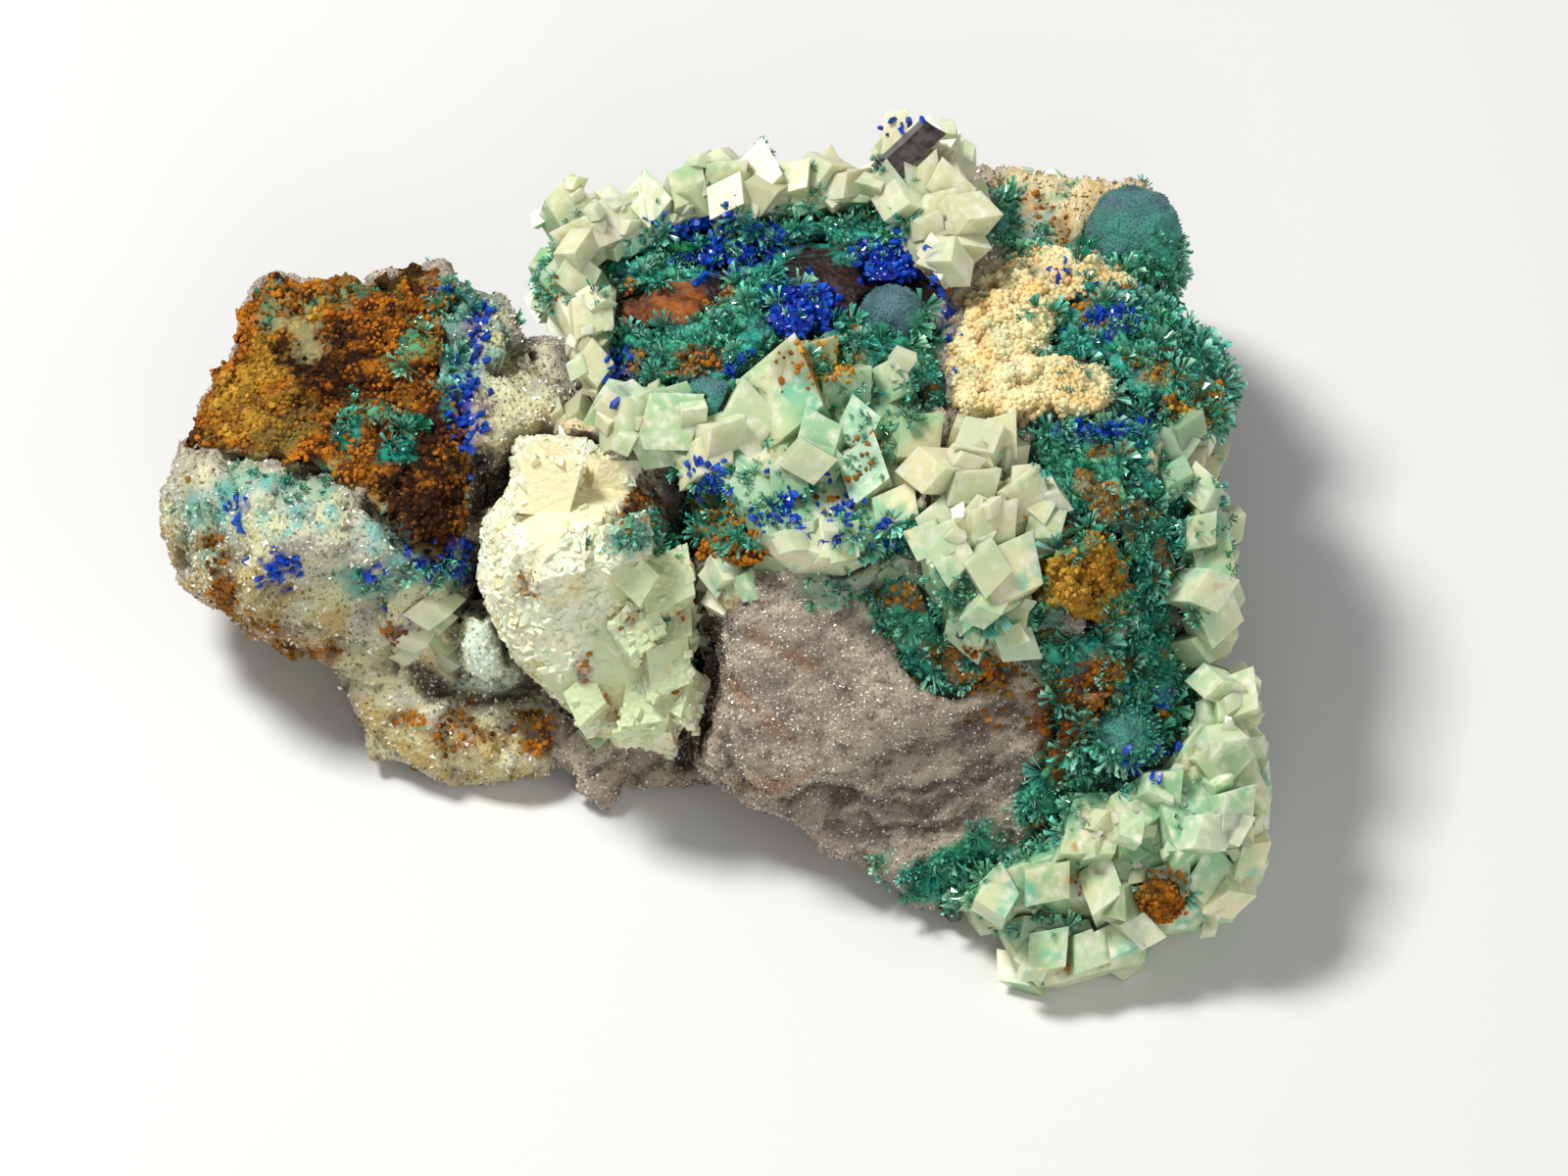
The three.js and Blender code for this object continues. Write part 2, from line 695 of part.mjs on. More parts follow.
const creamCrustUpper = crust({
  outline: [
    [19.8, 16.7], [21.0, 19.9], [23.6, 22.5], [26.6, 24.1], [30.6, 24.3], [33.8, 22.7], [34.6, 20.9],
    [31.0, 21.6],
    [28.0, 20.4], [26.4, 18.0], [27.0, 15.6], [24.0, 13.0], [20.0, 12.4],
  ],
  middle: [24.2, 18.8],
  proud: 2.4,
  deep: 2.2,
  rough: 0.6,
  seed: 41,
});
const creamCrustLower = crust({
  outline: [
    [19.4, 15.0], [24.0, 15.4], [28.4, 15.2], [31.4, 14.8], [33.0, 12.7], [31.4, 10.7], [28.0, 10.9],
    [24.2, 10.3],
    [21.8, 10.4], [19.8, 11.5],
  ],
  proud: 3,
  deep: 2.2,
  rough: 0.6,
  seed: 42,
});
const tyroliteDome = crust({
  outline: [
    [27.0, 17.9], [28.8, 19.9], [31.4, 21.4], [35.2, 20.9], [38.2, 18.9], [41.2, 16.5], [42.2, 13.5],
    [41.8, 10.5],
    [40.0, 9.4], [37.8, 9.5], [35.8, 11.3], [33.6, 12.7], [32.4, 15.3], [29.8, 15.9], [28.0, 15.8],
  ],
  middle: [35.6, 15.4],
  proud: 2.2,
  deep: 2.4,
  rough: 0.5,
  seed: 43,
});
const tyroliteFlank = crust({
  outline: [
    [25.6, 10.2], [28.2, 10.4], [32.2, 9.9], [36.2, 10.0], [37.2, 6.3], [37.4, 2.3], [36.8, -3.3],
    [35.8, -6.1],
    [33.8, -2.6], [33.0, 0.3], [29.8, 2.9], [27.4, 4.8], [25.8, 7.1],
  ],
  middle: [33.6, 5],
  proud: 1.5,
  rough: 0.5,
  seed: 44,
});
const ochreRight = crust({
  outline: [
    [25.2, -3.3], [26.8, -0.3], [28.2, 1.6], [29.8, 2.4], [32.6, 0.6], [34.0, -2.0], [34.4, -4.9],
    [32.2, -6.6],
    [29.0, -5.3], [25.8, -4.5],
  ],
  proud: 2,
  rough: 0.6,
  seed: 45,
});
const tyroliteHollow = crust({
  outline: [
    [25.4, -6.5], [29.0, -6.1], [32.8, -7.3], [37.0, -7.3], [38.6, -11.3], [37.0, -15.9], [33.8, -17.5],
    [30.6, -19.0],
    [28.8, -21.5], [25.8, -24.2], [24.8, -21.5], [26.8, -17.7], [28.4, -12.9], [27.4, -9.3],
  ],
  middle: [32, -13],
  proud: 1.3,
  rough: 0.6,
  step: MEDIUM,
  seed: 46,
});
const tyroliteFrill = crust({
  outline: [
    [-8.4, 23.0], [-5.4, 25.4], [-1.0, 26.4], [4.0, 26.6], [9.0, 26.8], [15.6, 26.8], [17.4, 25.6],
    [14.0, 24.8],
    [8.6, 25.2], [4.0, 24.8], [-0.6, 24.2], [-4.0, 22.0], [-7.6, 20.0],
  ],
  middle: [2, 25.6],
  proud: 2.0,
  step: MEDIUM,
  seed: 48,
});
const tyroliteSheaf = crust({
  outline: [
    [-8.4, 16.8], [-4.6, 17.6], [-1.6, 17.4], [0.4, 19.6], [2.2, 22.6], [4.6, 22.4], [6.4, 19.2],
    [9.6, 17.9],
    [15.8, 17.5], [18.4, 15.6], [19.0, 11.0], [17.6, 11.5], [14.0, 15.9], [8.0, 17.0], [3.6, 14.9],
    [0.8, 13.0],
    [-3.2, 13.4], [-7.4, 13.4], [-8.6, 15.0],
  ],
  middle: [4.2, 17.6],
  proud: 1.7,
  step: MEDIUM,
  seed: 49,
});
const tyroliteBand = crust({
  outline: [
    [14.2, -2.6], [16.6, -3.4], [18.6, -6.9], [22.8, -8.9], [23.8, -9.9], [18.6, -11.7], [15.8, -9.9],
    [14.6, -7.3], [13.2, -4.6],
  ],
  proud: 1.2,
  seed: 50,
});
const rustFace = crust({
  outline: [
    [-37.5, 21.8], [-35.9, 23.0], [-34.4, 22.3], [-28.6, 21.7], [-25.5, 23.5], [-22.8, 23.2],
    [-20.8, 21.4], [-22.0, 17.5],
    [-23.0, 15.1], [-20.8, 12.7], [-19.8, 8.7], [-19.6, 5.3], [-20.0, 1.5], [-21.8, -1.0], [-24.6, -0.7],
    [-26.8, 2.5], [-29.0, 4.9], [-32.0, 6.3], [-35.4, 7.1], [-38.4, 7.5], [-43.2, 8.2], [-42.1, 11.3],
    [-40.1, 15.7], [-38.8, 18.4],
  ],
  middle: [-28.5, 12],
  proud: 1.0,
  deep: 2.2,
  rough: 0.6,
  grain: 4.5,
  step: MEDIUM,
  seed: 52,
});
const ironstone = crust({
  outline: [
    [-7.8, 19.2], [-6.8, 23.6], [-3.0, 25.0], [2.6, 25.2], [8.2, 25.6], [16.4, 25.4], [18.2, 23.4],
    [18.9, 20.7],
    [17.6, 18.4], [13.8, 17.8], [9.8, 17.8], [5.8, 16.8], [1.8, 16.4], [-2.2, 17.4], [-5.6, 17.7],
  ],
  middle: [6, 21.4],
  proud: 0.8,
  deep: 2.6,
  rough: 0.3,
  step: COARSE,
  seed: 53,
});
const ochreCentre = crust({
  outline: [
    [-2.0, 3.6], [-1.4, 6.2], [2.6, 6.4], [6.4, 4.1], [7.2, 1.7], [5.8, -0.3], [3.0, -1.3], [-0.6, -0.9],
  ],
  proud: 1.4,
  rough: 0.5,
  seed: 54,
});
const brownNest = stone({
  outline: [[34.0, -26.5], [36.0, -25.8], [38.2, -26.5], [38.6, -28.4], [36.5, -30.0], [34.2, -29.0]],
  rim: [9, 0, 0],
  front: [[15.5, 0, 0]],
  back: 5,
  rough: 0.4,
  seed: 57,
});
const azuriteSpots = {
  azurite_top: {
    outline: [[-3.0, 24.6], [-0.6, 26.2], [3.6, 26.0], [4.6, 23.9], [1.6, 22.9], [-0.8, 22.7]],
    proud: 2.0,
  },
  azurite_window: {
    outline: [[12.3, 22.6], [13.4, 25.0], [16.6, 24.8], [17.0, 22.2], [14.8, 21.2], [12.6, 21.4]],
    proud: 1.9,
  },
  azurite_middle: {
    outline: [[3.5, 18.9], [6.4, 21.4], [9.8, 21.0], [9.6, 18.6], [7.0, 16.6], [4.2, 17.2]],
    proud: 2.6,
  },
};

// Round grey-blue balls, given as middle, radius and how far each is sunk
const balls = {
  grey_ball_top_right: { at: [34.6, 25.4], radius: 4.4, sunk: 1.6 },
  grey_ball_centre: { at: [-0.2, 10.9], radius: 3.0, sunk: 0.9 },
  grey_ball_window_right: { at: [14.6, 18.6], radius: 2.9, sunk: 1.2 },
  grey_ball_lower_right: { at: [33.0, -15.2], radius: 3.0, sunk: 1.2 },
};

// Main crystals, read from the face as [x, v, size, turn]
const topRhombs = [
  [-11.8, 27.1, 3.8, 45], [-8.2, 26.5, 3.2, 20], [-5.2, 27.5, 3.3, 60], [-2.4, 28.6, 3.5, 30],
  [0.7, 29.7, 3.9, 8],
  [4.0, 29.8, 3.4, 50], [6.7, 29.6, 2.9, 15], [8.9, 29.9, 3.2, 40], [11.2, 29.0, 3.0, 5],
  [2.4, 27.5, 3.0, 70],
];
const shoulderRhombs = [
  [-10.6, 24.5, 4.0, 30], [-11.2, 21.6, 3.2, 70], [-10.0, 18.4, 3.2, 15], [-9.4, 14.4, 2.8, 50],
];
const spireRhombs = [
  [14.9, 33.7, 2.6, 4], [18.2, 32.2, 3.2, -14], [16.8, 29.2, 3.8, 30], [19.4, 28.8, 3.2, 60],
  [18.2, 26.4, 3.6, 12],
  [15.0, 28.6, 3.4, 50], [20.3, 25.6, 2.8, 35], [18.4, 23.0, 2.8, 60],
];
const centreRhombs = [
  [6.2, 11.3, 5.8, 42], [10.4, 12.5, 3.8, 20], [2.4, 9.4, 4.4, 55], [-3.4, 9.9, 4.8, 8],
  [-6.4, 10.3, 3.6, 20],
  [7.6, 15.0, 3.6, 10], [12.2, 8.9, 3.6, 65], [15.9, 8.2, 3.6, 12], [12.6, 5.2, 3.8, 40],
  [14.6, 2.4, 3.4, 30],
  [10.6, 0.3, 2.8, 8], [6.2, 5.0, 3.2, 25], [9.2, 6.6, 3.4, 60], [14.8, 13.2, 3.2, 30],
  [-0.4, 7.0, 3.6, 15],
];
const rightRhombs = [
  [22.6, 8.1, 4.2, 12], [20.4, 5.1, 4.8, 40], [24.4, 3.9, 3.8, 25], [26.2, 3.2, 2.8, 60],
  [21.8, 1.3, 4.2, 10],
  [19.4, -0.9, 3.6, 55], [22.8, -2.9, 5.0, 22], [20.8, -6.0, 3.4, 65], [24.0, -6.0, 3.2, 5],
];
const edgeRhombs = [[40.2, -1.9, 3.6, 20], [40.4, -5.8, 3.4, 45], [39.0, 1.0, 2.8, 10], [39.6, 4.4, 2.6, 60]];
const lowerRhombs = [
  [26.9, -26.9, 3.4, 15], [30.2, -23.3, 5.0, 4], [34.0, -21.6, 3.8, 40], [38.4, -22.3, 6.2, 28],
  [40.8, -16.9, 4.4, 50],
  [36.4, -19.6, 3.4, 12], [42.0, -12.6, 3.3, 18], [31.6, -27.8, 3.6, 35], [40.2, -27.2, 3.8, 62],
  [42.4, -23.2, 3.0, 10],
  [23.2, -27.8, 2.8, 50], [42.2, -19.4, 3.0, 30], [36.6, -26.9, 3.0, 20],
];
const lobeRhombs = [
  [-3.9, -3.4, 4.0, 30], [-2.9, -6.6, 3.2, 12], [-5.8, -2.3, 3.6, 60], [-4.1, -9.8, 4.0, 20],
  [-6.2, -6.6, 4.2, 45],
  [-3.1, -11.3, 4.0, 70], [-5.4, -12.9, 4.4, 15], [-9.8, -12.6, 3.4, 40], [-12.2, -1.2, 3.2, 8],
  [-13.2, 4.9, 5.2, 2],
  [-8.6, 5.6, 3.8, 4], [-7.0, 0.4, 3.4, 25],
];
const tailRhombs = [
  [27.0, -32.8, 3.4, 5], [30.2, -32.6, 3.3, 12], [33.0, -31.9, 2.7, 20], [25.9, -33.6, 2.0, 50],
];

// A piece of plain lumps, and a piece of crystals grown on their lump
const mass = (name, colour, ...lumps) => ({ name, colour, lumps, crystals: [] });
const cluster = (name, colour, lump, seed, list, stretch) => ({
  name,
  colour,
  lumps: [lump],
  crystals: rhombs(lump, seed, list, stretch),
});

// Every piece, in the order in which it claims its place: a later piece is cut back from an earlier one
const pieces = [
  cluster("rhombs_top_ridge", "paleRhomb", topRidge, 101, topRhombs),
  cluster("rhombs_left_shoulder", "paleRhomb", leftShoulder, 102, shoulderRhombs),
  {
    name: "smoky_crystal",
    colour: "smoky",
    lumps: [],
    crystals: [{ size: [1.9, 5.4, 1.9], turn: -32, tilt: 6, yaw: 0, at: [16.0, 32.4, 3.2] }],
  },
  cluster("rhombs_spire", "creamRhomb", spire, 103, spireRhombs, [0.85, 1.2, 0.9]),
  cluster("rhombs_centre", "paleRhomb", centreField, 104, centreRhombs),
  cluster("rhombs_right", "paleRhomb", rightField, 105, rightRhombs),
  cluster("rhombs_right_edge", "paleRhomb", rightEdge, 106, edgeRhombs),
  mass("limonite_nest", "limonite", brownNest),
  cluster("rhombs_lower_right", "paleRhomb", lowerRight, 107, lowerRhombs),
  cluster("rhombs_tail", "paleRhomb", tail, 108, tailRhombs),
  cluster("cream_lobe", "creamRhomb", creamLobe, 109, lobeRhombs),
  ...Object.keys(balls).map((name) => ({ ...mass(name, "greyBall"), ball: balls[name] })),
  ...Object.keys(azuriteSpots).map((name, i) =>
    mass(name, "azurite", crust({ ...azuriteSpots[name], rough: 0.6, grain: 2.2, seed: 60 + i })),
  ),
  mass("cream_crust", "creamCrust", creamCrustUpper, creamCrustLower),
  mass("limonite_right", "ochre", ochreRight),
  mass("limonite_centre", "ochre", ochreCentre),
  mass("tyrolite_frill", "tyrolite", tyroliteFrill),
  mass("tyrolite_sheaf", "tyrolite", tyroliteSheaf),
  mass("tyrolite_dome", "tyrolite", tyroliteDome),
  mass("tyrolite_flank", "tyrolite", tyroliteFlank),
  mass("tyrolite_hollow", "tyrolite", tyroliteHollow),
  mass("tyrolite_band", "tyrolite", tyroliteBand),
  mass("ironstone_window", "ironstone", ironstone),
  mass("limonite_left_face", "limonite", rustFace),
];

// A ball sits sunk into the rock's front
function ballMesh({ at: [x, v], radius, sunk }, extra) {
  const ball = new THREE.IcosahedronGeometry(radius + extra, 1);
  return ball.translate(x, v, nearestRock(x, v, [x * 0.9, v * 0.9]) + CRUST_DEPTH - sunk);
}

function solidOfPiece(piece, extra) {
  const meshes = [
    ...piece.lumps.map((lump) => swollen(stoneMesh(lump), extra)),
    ...piece.crystals.map((crystal) => rhombMesh(crystal, extra)),
  ];
  if (piece.ball) meshes.push(ballMesh(piece.ball, extra));
  return joined(meshes.map(solidOf));
}

// A box that fills everything below the base, in the face frame
const GROUND = 200;
const ground = solidOf(
  new THREE.BoxGeometry(GROUND, GROUND, GROUND).translate(0, 0, -GROUND / 2).applyMatrix4(unlean),
);

function largestBody(solid) {
  const bodies = solid.decompose();
  return bodies.sort((a, b) => b.volume() - a.volume())[0];
}

const specimen = new THREE.Group();
specimen.applyMatrix4(lean);

function addMesh(name, colour, solid) {
  const material = new THREE.MeshStandardMaterial({ color: COLOURS[colour], ...DULL });
  const mesh = new THREE.Mesh(geometryOf(solid), material);
  mesh.name = name;
  specimen.add(mesh);
  return mesh.geometry;
}

let claimed = ground;
for (const piece of pieces) {
  const geometry = addMesh(piece.name, piece.colour, largestBody(solidOfPiece(piece, 0).subtract(claimed)));
  claimed = joined([claimed, solidOfPiece(piece, SEAT_GAP), solidOf(geometry)]);
}
const faceStones = [...rockStones, ...ledges].map((made) => solidOf(stoneMesh(made)));
const rock = joined([...faceStones, rightRoot, leftRoot]);
addMesh("matrix_rock", "greyRock", largestBody(rock.subtract(claimed)));

export default specimen;
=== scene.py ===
"""A hand specimen of tyrolite and azurite on rock: rough skins and small crystals over the faceted frame."""
import math
import random

import bmesh
import bpy
import numpy as np
from mathutils import Euler, Matrix, Vector
from mathutils.bvhtree import BVHTree
from mathutils.kdtree import KDTree


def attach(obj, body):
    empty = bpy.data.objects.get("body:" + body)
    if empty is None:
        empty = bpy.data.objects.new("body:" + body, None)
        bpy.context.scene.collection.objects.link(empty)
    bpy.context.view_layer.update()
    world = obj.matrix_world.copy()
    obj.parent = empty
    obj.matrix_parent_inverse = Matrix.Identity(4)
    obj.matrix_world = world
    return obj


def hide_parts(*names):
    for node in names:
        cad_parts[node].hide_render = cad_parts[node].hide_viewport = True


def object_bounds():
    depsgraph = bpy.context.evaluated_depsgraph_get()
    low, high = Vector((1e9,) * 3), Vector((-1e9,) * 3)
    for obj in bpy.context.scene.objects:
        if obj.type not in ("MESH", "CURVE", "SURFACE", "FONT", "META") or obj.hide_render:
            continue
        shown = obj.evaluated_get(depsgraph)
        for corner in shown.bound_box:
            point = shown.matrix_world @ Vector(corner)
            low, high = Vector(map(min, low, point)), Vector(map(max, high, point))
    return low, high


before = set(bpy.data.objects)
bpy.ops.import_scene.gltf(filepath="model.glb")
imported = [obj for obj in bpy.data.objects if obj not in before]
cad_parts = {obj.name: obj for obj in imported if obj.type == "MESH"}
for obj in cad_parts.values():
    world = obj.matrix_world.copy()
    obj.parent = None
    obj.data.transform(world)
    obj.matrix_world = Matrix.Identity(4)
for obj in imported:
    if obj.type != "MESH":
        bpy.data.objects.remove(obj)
cad_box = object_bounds()

MM = 0.001
ANY_TURN = 3.14
FIRST_SEED = 11
CHIP_SEED = 91

# Points closer than this are one, and points stay this far inside the frame's box, in metres
MERGE = 1e-6
BOX_MARGIN = 1e-5

# Growth steps on crystal faces: height and spacing in millimetres, and seed
STEP_HEIGHT = 0.035
STEP_WAVE = (1.1, 33)

# Waves that blur, fray, shift and break up the zones: length in millimetres, and seed
BLUR_WAVES = ((3.5, 5), (1.4, 6))
RAGGED_WAVES = ((1.9, 7), (0.9, 8))
CREASE_WAVES = ((2.6, 21), (2.2, 22))
CREASE_WOBBLE = 0.35
DRIFT_WAVES = ((9, 71), (2.5, 72))
RUSTY_GAP_WAVE = (5.5, 81)
CREAM_GAP_WAVE = (4.5, 82)
GREEN_GAP_WAVE = (2.4, 83)
CLUSTER_WAVES = ((8, 84), (3, 85))

# How the noise of bedded rock and of ironstone is drawn out along the beds
BED_STRETCH = (0.2, 0.8, 1.3)
IRON_STRETCH = (0.15, 0.8, 1.4)

# The bands of painted shade on the druse: how far they turn from straight across, and how they are drawn out
BAND_TURN = -0.5
BAND_STRETCH = (0.2, 1.2, 1.2)

# Below the first height a skin stays flat, above the second it is as rough as it gets, in millimetres
FOOT_FLAT = 0.2
FOOT_FULL = 1.2

# The display face leans back. x runs across it, v up it and w out of it, in millimetres.
FACE_LEAN = math.radians(40)
FACE_ORIGIN = (0.1, -2.0, 16.0)
FACE_UP = Vector((0, math.cos(FACE_LEAN), math.sin(FACE_LEAN)))
FACE_OUT = Vector((0, -math.sin(FACE_LEAN), math.cos(FACE_LEAN)))

# Camera: a long lens square to the display face
LENS_MM = 300
SENSOR_MM = 36
VIEW_WIDTH = 128
VIEW_CENTRE = (5.84, -3.28)

# Lights: place, size and power; and how far the floor reaches
LIGHTS = {
    "key": ((-0.30, 0.10, 0.62), 0.16, 5.6),
    "fill": ((0.5, -0.4, 0.4), 0.5, 1.3),
    "front": ((0.05, -0.7, 0.5), 0.3, 1.3),
}
FLOOR_REACH = 1.5
ROOM_COLOUR = (0.9, 0.94, 1.0, 1.0)
ROOM_STRENGTH = 0.22

# How far a ray looks for cover straight out of a skin, and for neighbours round about, in millimetres
COVER_REACH = 1.1
HOLLOW_REACH = 2.6

# Rays start this far out, the ones round about go at these angles with this much of the way outward,
# and nothing grows below the last height
RAY_START = 0.12
RAYS_AROUND = (0.4, 1.66, 2.9, 4.2, 5.4)
RAY_SLANT = 0.55
BARE_FOOT = 0.3

# Rough skins: how fine a skin is and how much it swells, then the size and height of its lumps, grains, cells
# and beds, all in millimetres
RELIEF_PARTS = ("Lump", "Grain", "Cell", "Bed")
AZURITE_RELIEF = (0.26, 0, (1.6, 0.4), (0.8, 0.3), (1, 0.4), (1.6, 0))
BALL_RELIEF = (0.2, 0, (2.6, 0.4), (0.6, 0.08), (0.7, 0.1), (1.6, 0))
BLADE_RELIEF = (0.33, 0.2, (2, 0.5), (0.9, 0.25), (1.4, 0.45), (1.6, 0))
FLANK_RELIEF = (0.33, 0.2, (2.4, 0.6), (0.9, 0.25), (1.6, 0.5), (1.6, 0))
SKINS = {
    "matrix_rock": (0.5, 0, (5, 0.55), (1.5, 0.22), (1.1, 0.18), (1.6, 0.3)),
    "cream_crust": (0.33, 0.2, (3.4, 0.9), (1.2, 0.45), (1.6, 0.45), (2, 0)),
    "limonite_left_face": (0.34, 0, (2.8, 0.8), (1.1, 0.5), (2, 0.5), (1.6, 0.2)),
    "limonite_right": (0.3, 0, (2, 0.5), (0.9, 0.3), (1.2, 0.35), (1.2, 0.3)),
    "limonite_centre": (0.3, 0, (2, 0.5), (0.9, 0.35), (1, 0.3), (1.6, 0)),
    "limonite_nest": (0.3, 0.45, (2, 0.5), (0.8, 0.4), (1, 0.3), (1.6, 0)),
    "ironstone_window": (0.3, 0, (3, 0.3), (0.8, 0.15), (1.4, 0.1), (1.1, 0.55)),
    "tyrolite_frill": BLADE_RELIEF,
    "tyrolite_sheaf": BLADE_RELIEF,
    "tyrolite_dome": (0.33, 0.2, (2.4, 0.6), (0.9, 0.25), (1.6, 0.6), (1.6, 0)),
    "tyrolite_flank": FLANK_RELIEF,
    "tyrolite_hollow": FLANK_RELIEF,
    "tyrolite_band": (0.3, 0.2, (2, 0.5), (0.9, 0.25), (1.4, 0.4), (1.6, 0)),
    "azurite_top": AZURITE_RELIEF,
    "azurite_window": AZURITE_RELIEF,
    "azurite_middle": AZURITE_RELIEF,
    "grey_ball_top_right": (0.22, 0, (4.2, 0.8), (0.7, 0.1), (0.8, 0.12), (1.6, 0)),
    "grey_ball_centre": BALL_RELIEF,
    "grey_ball_window_right": BALL_RELIEF,
    "grey_ball_lower_right": BALL_RELIEF,
}
CRISP = [
    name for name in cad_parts
    if name.startswith("rhombs_") or name in ("smoky_crystal", "cream_lobe")
]

# Zones: what grows where on the display face, as outlines and as oval spots
# (x, v, half width, half height, strength)
OUTLINES = {
    "rhomb": [
        [(-0.2, -4.4), (3.7, -1.5), (8.4, -3.4), (13.2, -6.2), (17, -7.6), (21, -7.6), (24, -6), (17, -3),
         (13.8, -0.5), (7, -1.6), (3, 0.5), (-1.2, -1)],
        [(-12.6, 26), (-7, 24), (-8, 21), (-13, 20)],
        [(6, 11), (8, 18), (16, 18), (19, 12), (18, 6), (16, 0), (8, -2), (4, 2)],
        [(18, -29.6), (22, -25), (27, -24), (30, -20), (38, -16), (40, -10), (44, -10), (45, -20),
         (43, -29), (30, -32)],
        [(-7.2, 0.6), (-2.6, 1.6), (-0.8, -3), (-0.4, -9), (-2, -13.6), (-6, -16), (-12, -14),
         (-13.6, -10.4), (-9.4, -9.6), (-7.6, -5.4)],
    ],
    "pale": [
        [(-46, 3), (-43.5, 8), (-38, 7.4), (-32, 6.3), (-29, 4.9), (-26.8, 2.5), (-24.6, -0.7), (-20, -1),
         (-18.5, -7), (-20.5, -11.5), (-30, -10.4), (-39, -7.5), (-45, -2)],
        [(-31, -9), (-22, -10.4), (-13, -12), (-13, -19), (-20, -20), (-29, -17)],
        [(-18.6, 22), (-15, 17), (-9, 11.6), (-9.6, 8.4), (-17, 9), (-19.4, 14)],
        [(-36.4, 20.8), (-34.4, 20.4), (-31.4, 16.4), (-33, 15.6), (-35.6, 17.6)],
    ],
    "warm": [
        [(-30, -12), (-22, -13.6), (-13, -14), (-13, -19), (-20, -20), (-29, -17)],
        [(-46, 3), (-38, -1), (-30, -6), (-34, -13), (-44, -8)],
    ],
    "milky": [
        [(-13, 28), (18, 36), (22, 30), (21, 18), (17, 16), (16, 24), (-6, 24), (-8, 8), (-12, 8)],
        [(18, 12), (28, 9), (27, 2), (20, 0), (17, 6)],
    ],
    "mint": [
        [(-20.7, -4.6), (-17.4, -5.2), (-15.3, -10.5), (-18, -12), (-20.6, -10.6)],
    ],
    "tan": [
        [(24, 32.5), (37.5, 31), (39.5, 27), (39.5, 17), (35, 19), (31, 24.6), (25, 25.5), (22, 28)],
    ],
    "tyrolite": [
        [(-8.2, 21.6), (-8.2, 25.4), (-2, 27.2), (6, 27.8), (15, 27.8), (17, 26), (16, 24.2), (8, 24.5),
         (0, 23.5), (-5, 20.6)],
        [(26, 18), (31, 22), (38, 19.5), (43, 14), (42.4, 9), (38, 9), (38.5, 2), (37.5, -7), (39.5, -11),
         (37, -17), (31, -20), (29, -24), (24.5, -25), (24.5, -20), (27, -16), (28, -12), (25, -8),
         (33, -7), (34, -2), (30, 3), (26, 5), (25, 10), (32, 11), (33, 13), (30, 16), (27, 16)],
        [(13.8, -25.9), (17, -25.5), (21.8, -23.1), (24.4, -22.8), (25.4, -24.2), (23.4, -27.2),
         (20.2, -28.8), (17, -29.3)],
        [(31, 24.4), (38.8, 25.6), (39.4, 17), (36.4, 19.2), (33.4, 21.6)],
    ],
    "ochre": [
        [(24.6, 2.6), (29, 3.4), (34, 1.6), (35.4, -2), (34.6, -6.6), (30, -7.6), (25, -6.6), (24.4, -2)],
        [(33.6, 12), (36.4, 14.4), (39.6, 13.6), (40.8, 10.8), (38, 9.6), (34.6, 10)],
        [(7, 18), (14.5, 17.5), (14, 12), (8, 12)],
        [(-38, 16), (-32, 21), (-33, 15), (-36, 10), (-41, 8), (-41, 12)],
    ],
    "streak": [
        [(3.2, -6.4), (6, -8), (8.8, -9.5), (8.5, -10.1), (5.6, -8.8), (3, -7.2)],
        [(1.6, -10.6), (4.2, -13), (6.8, -15.6), (6.3, -16), (3.6, -13.6), (1.3, -11.2)],
        [(1.6, -18.4), (5.6, -18.6), (8.4, -17.4), (8.2, -18.6), (5.6, -19.9), (2, -19.6)],
        [(-7.8, 18.4), (-7.6, 23), (-1.6, 22.6), (-0.4, 19), (-4, 17.8)],
        [(-43, -3.4), (-40, -5), (-33, -7), (-30, -9), (-31, -10.4), (-38, -8), (-43, -5.4)],
    ],
    "limonite": [
        [(25.4, -11.7), (28.6, -10.1), (33.8, -8.1), (34.6, -9.3), (30.6, -12.9), (28.6, -16.9),
         (26.6, -17.7), (25.4, -14.5)],
        [(-8.3, 2.4), (-8, 4.4), (-5.6, 5.5), (-4.3, 4.9), (-4.2, 2.6), (-6.6, 1.2)],
        [(17.4, -8.4), (21, -8.2), (24.4, -9.4), (24.2, -11.9), (20, -11.9), (17.8, -10.2)],
    ],
    "dark": [
        [(-27.4, 10), (-23.4, 12.5), (-20, 9), (-19.4, 3), (-21, -2), (-25, -1), (-27.5, 3), (-26, 6)],
        [(-36, 17.6), (-30, 18.6), (-27.5, 15.5), (-30, 12), (-35, 14)],
    ],
}
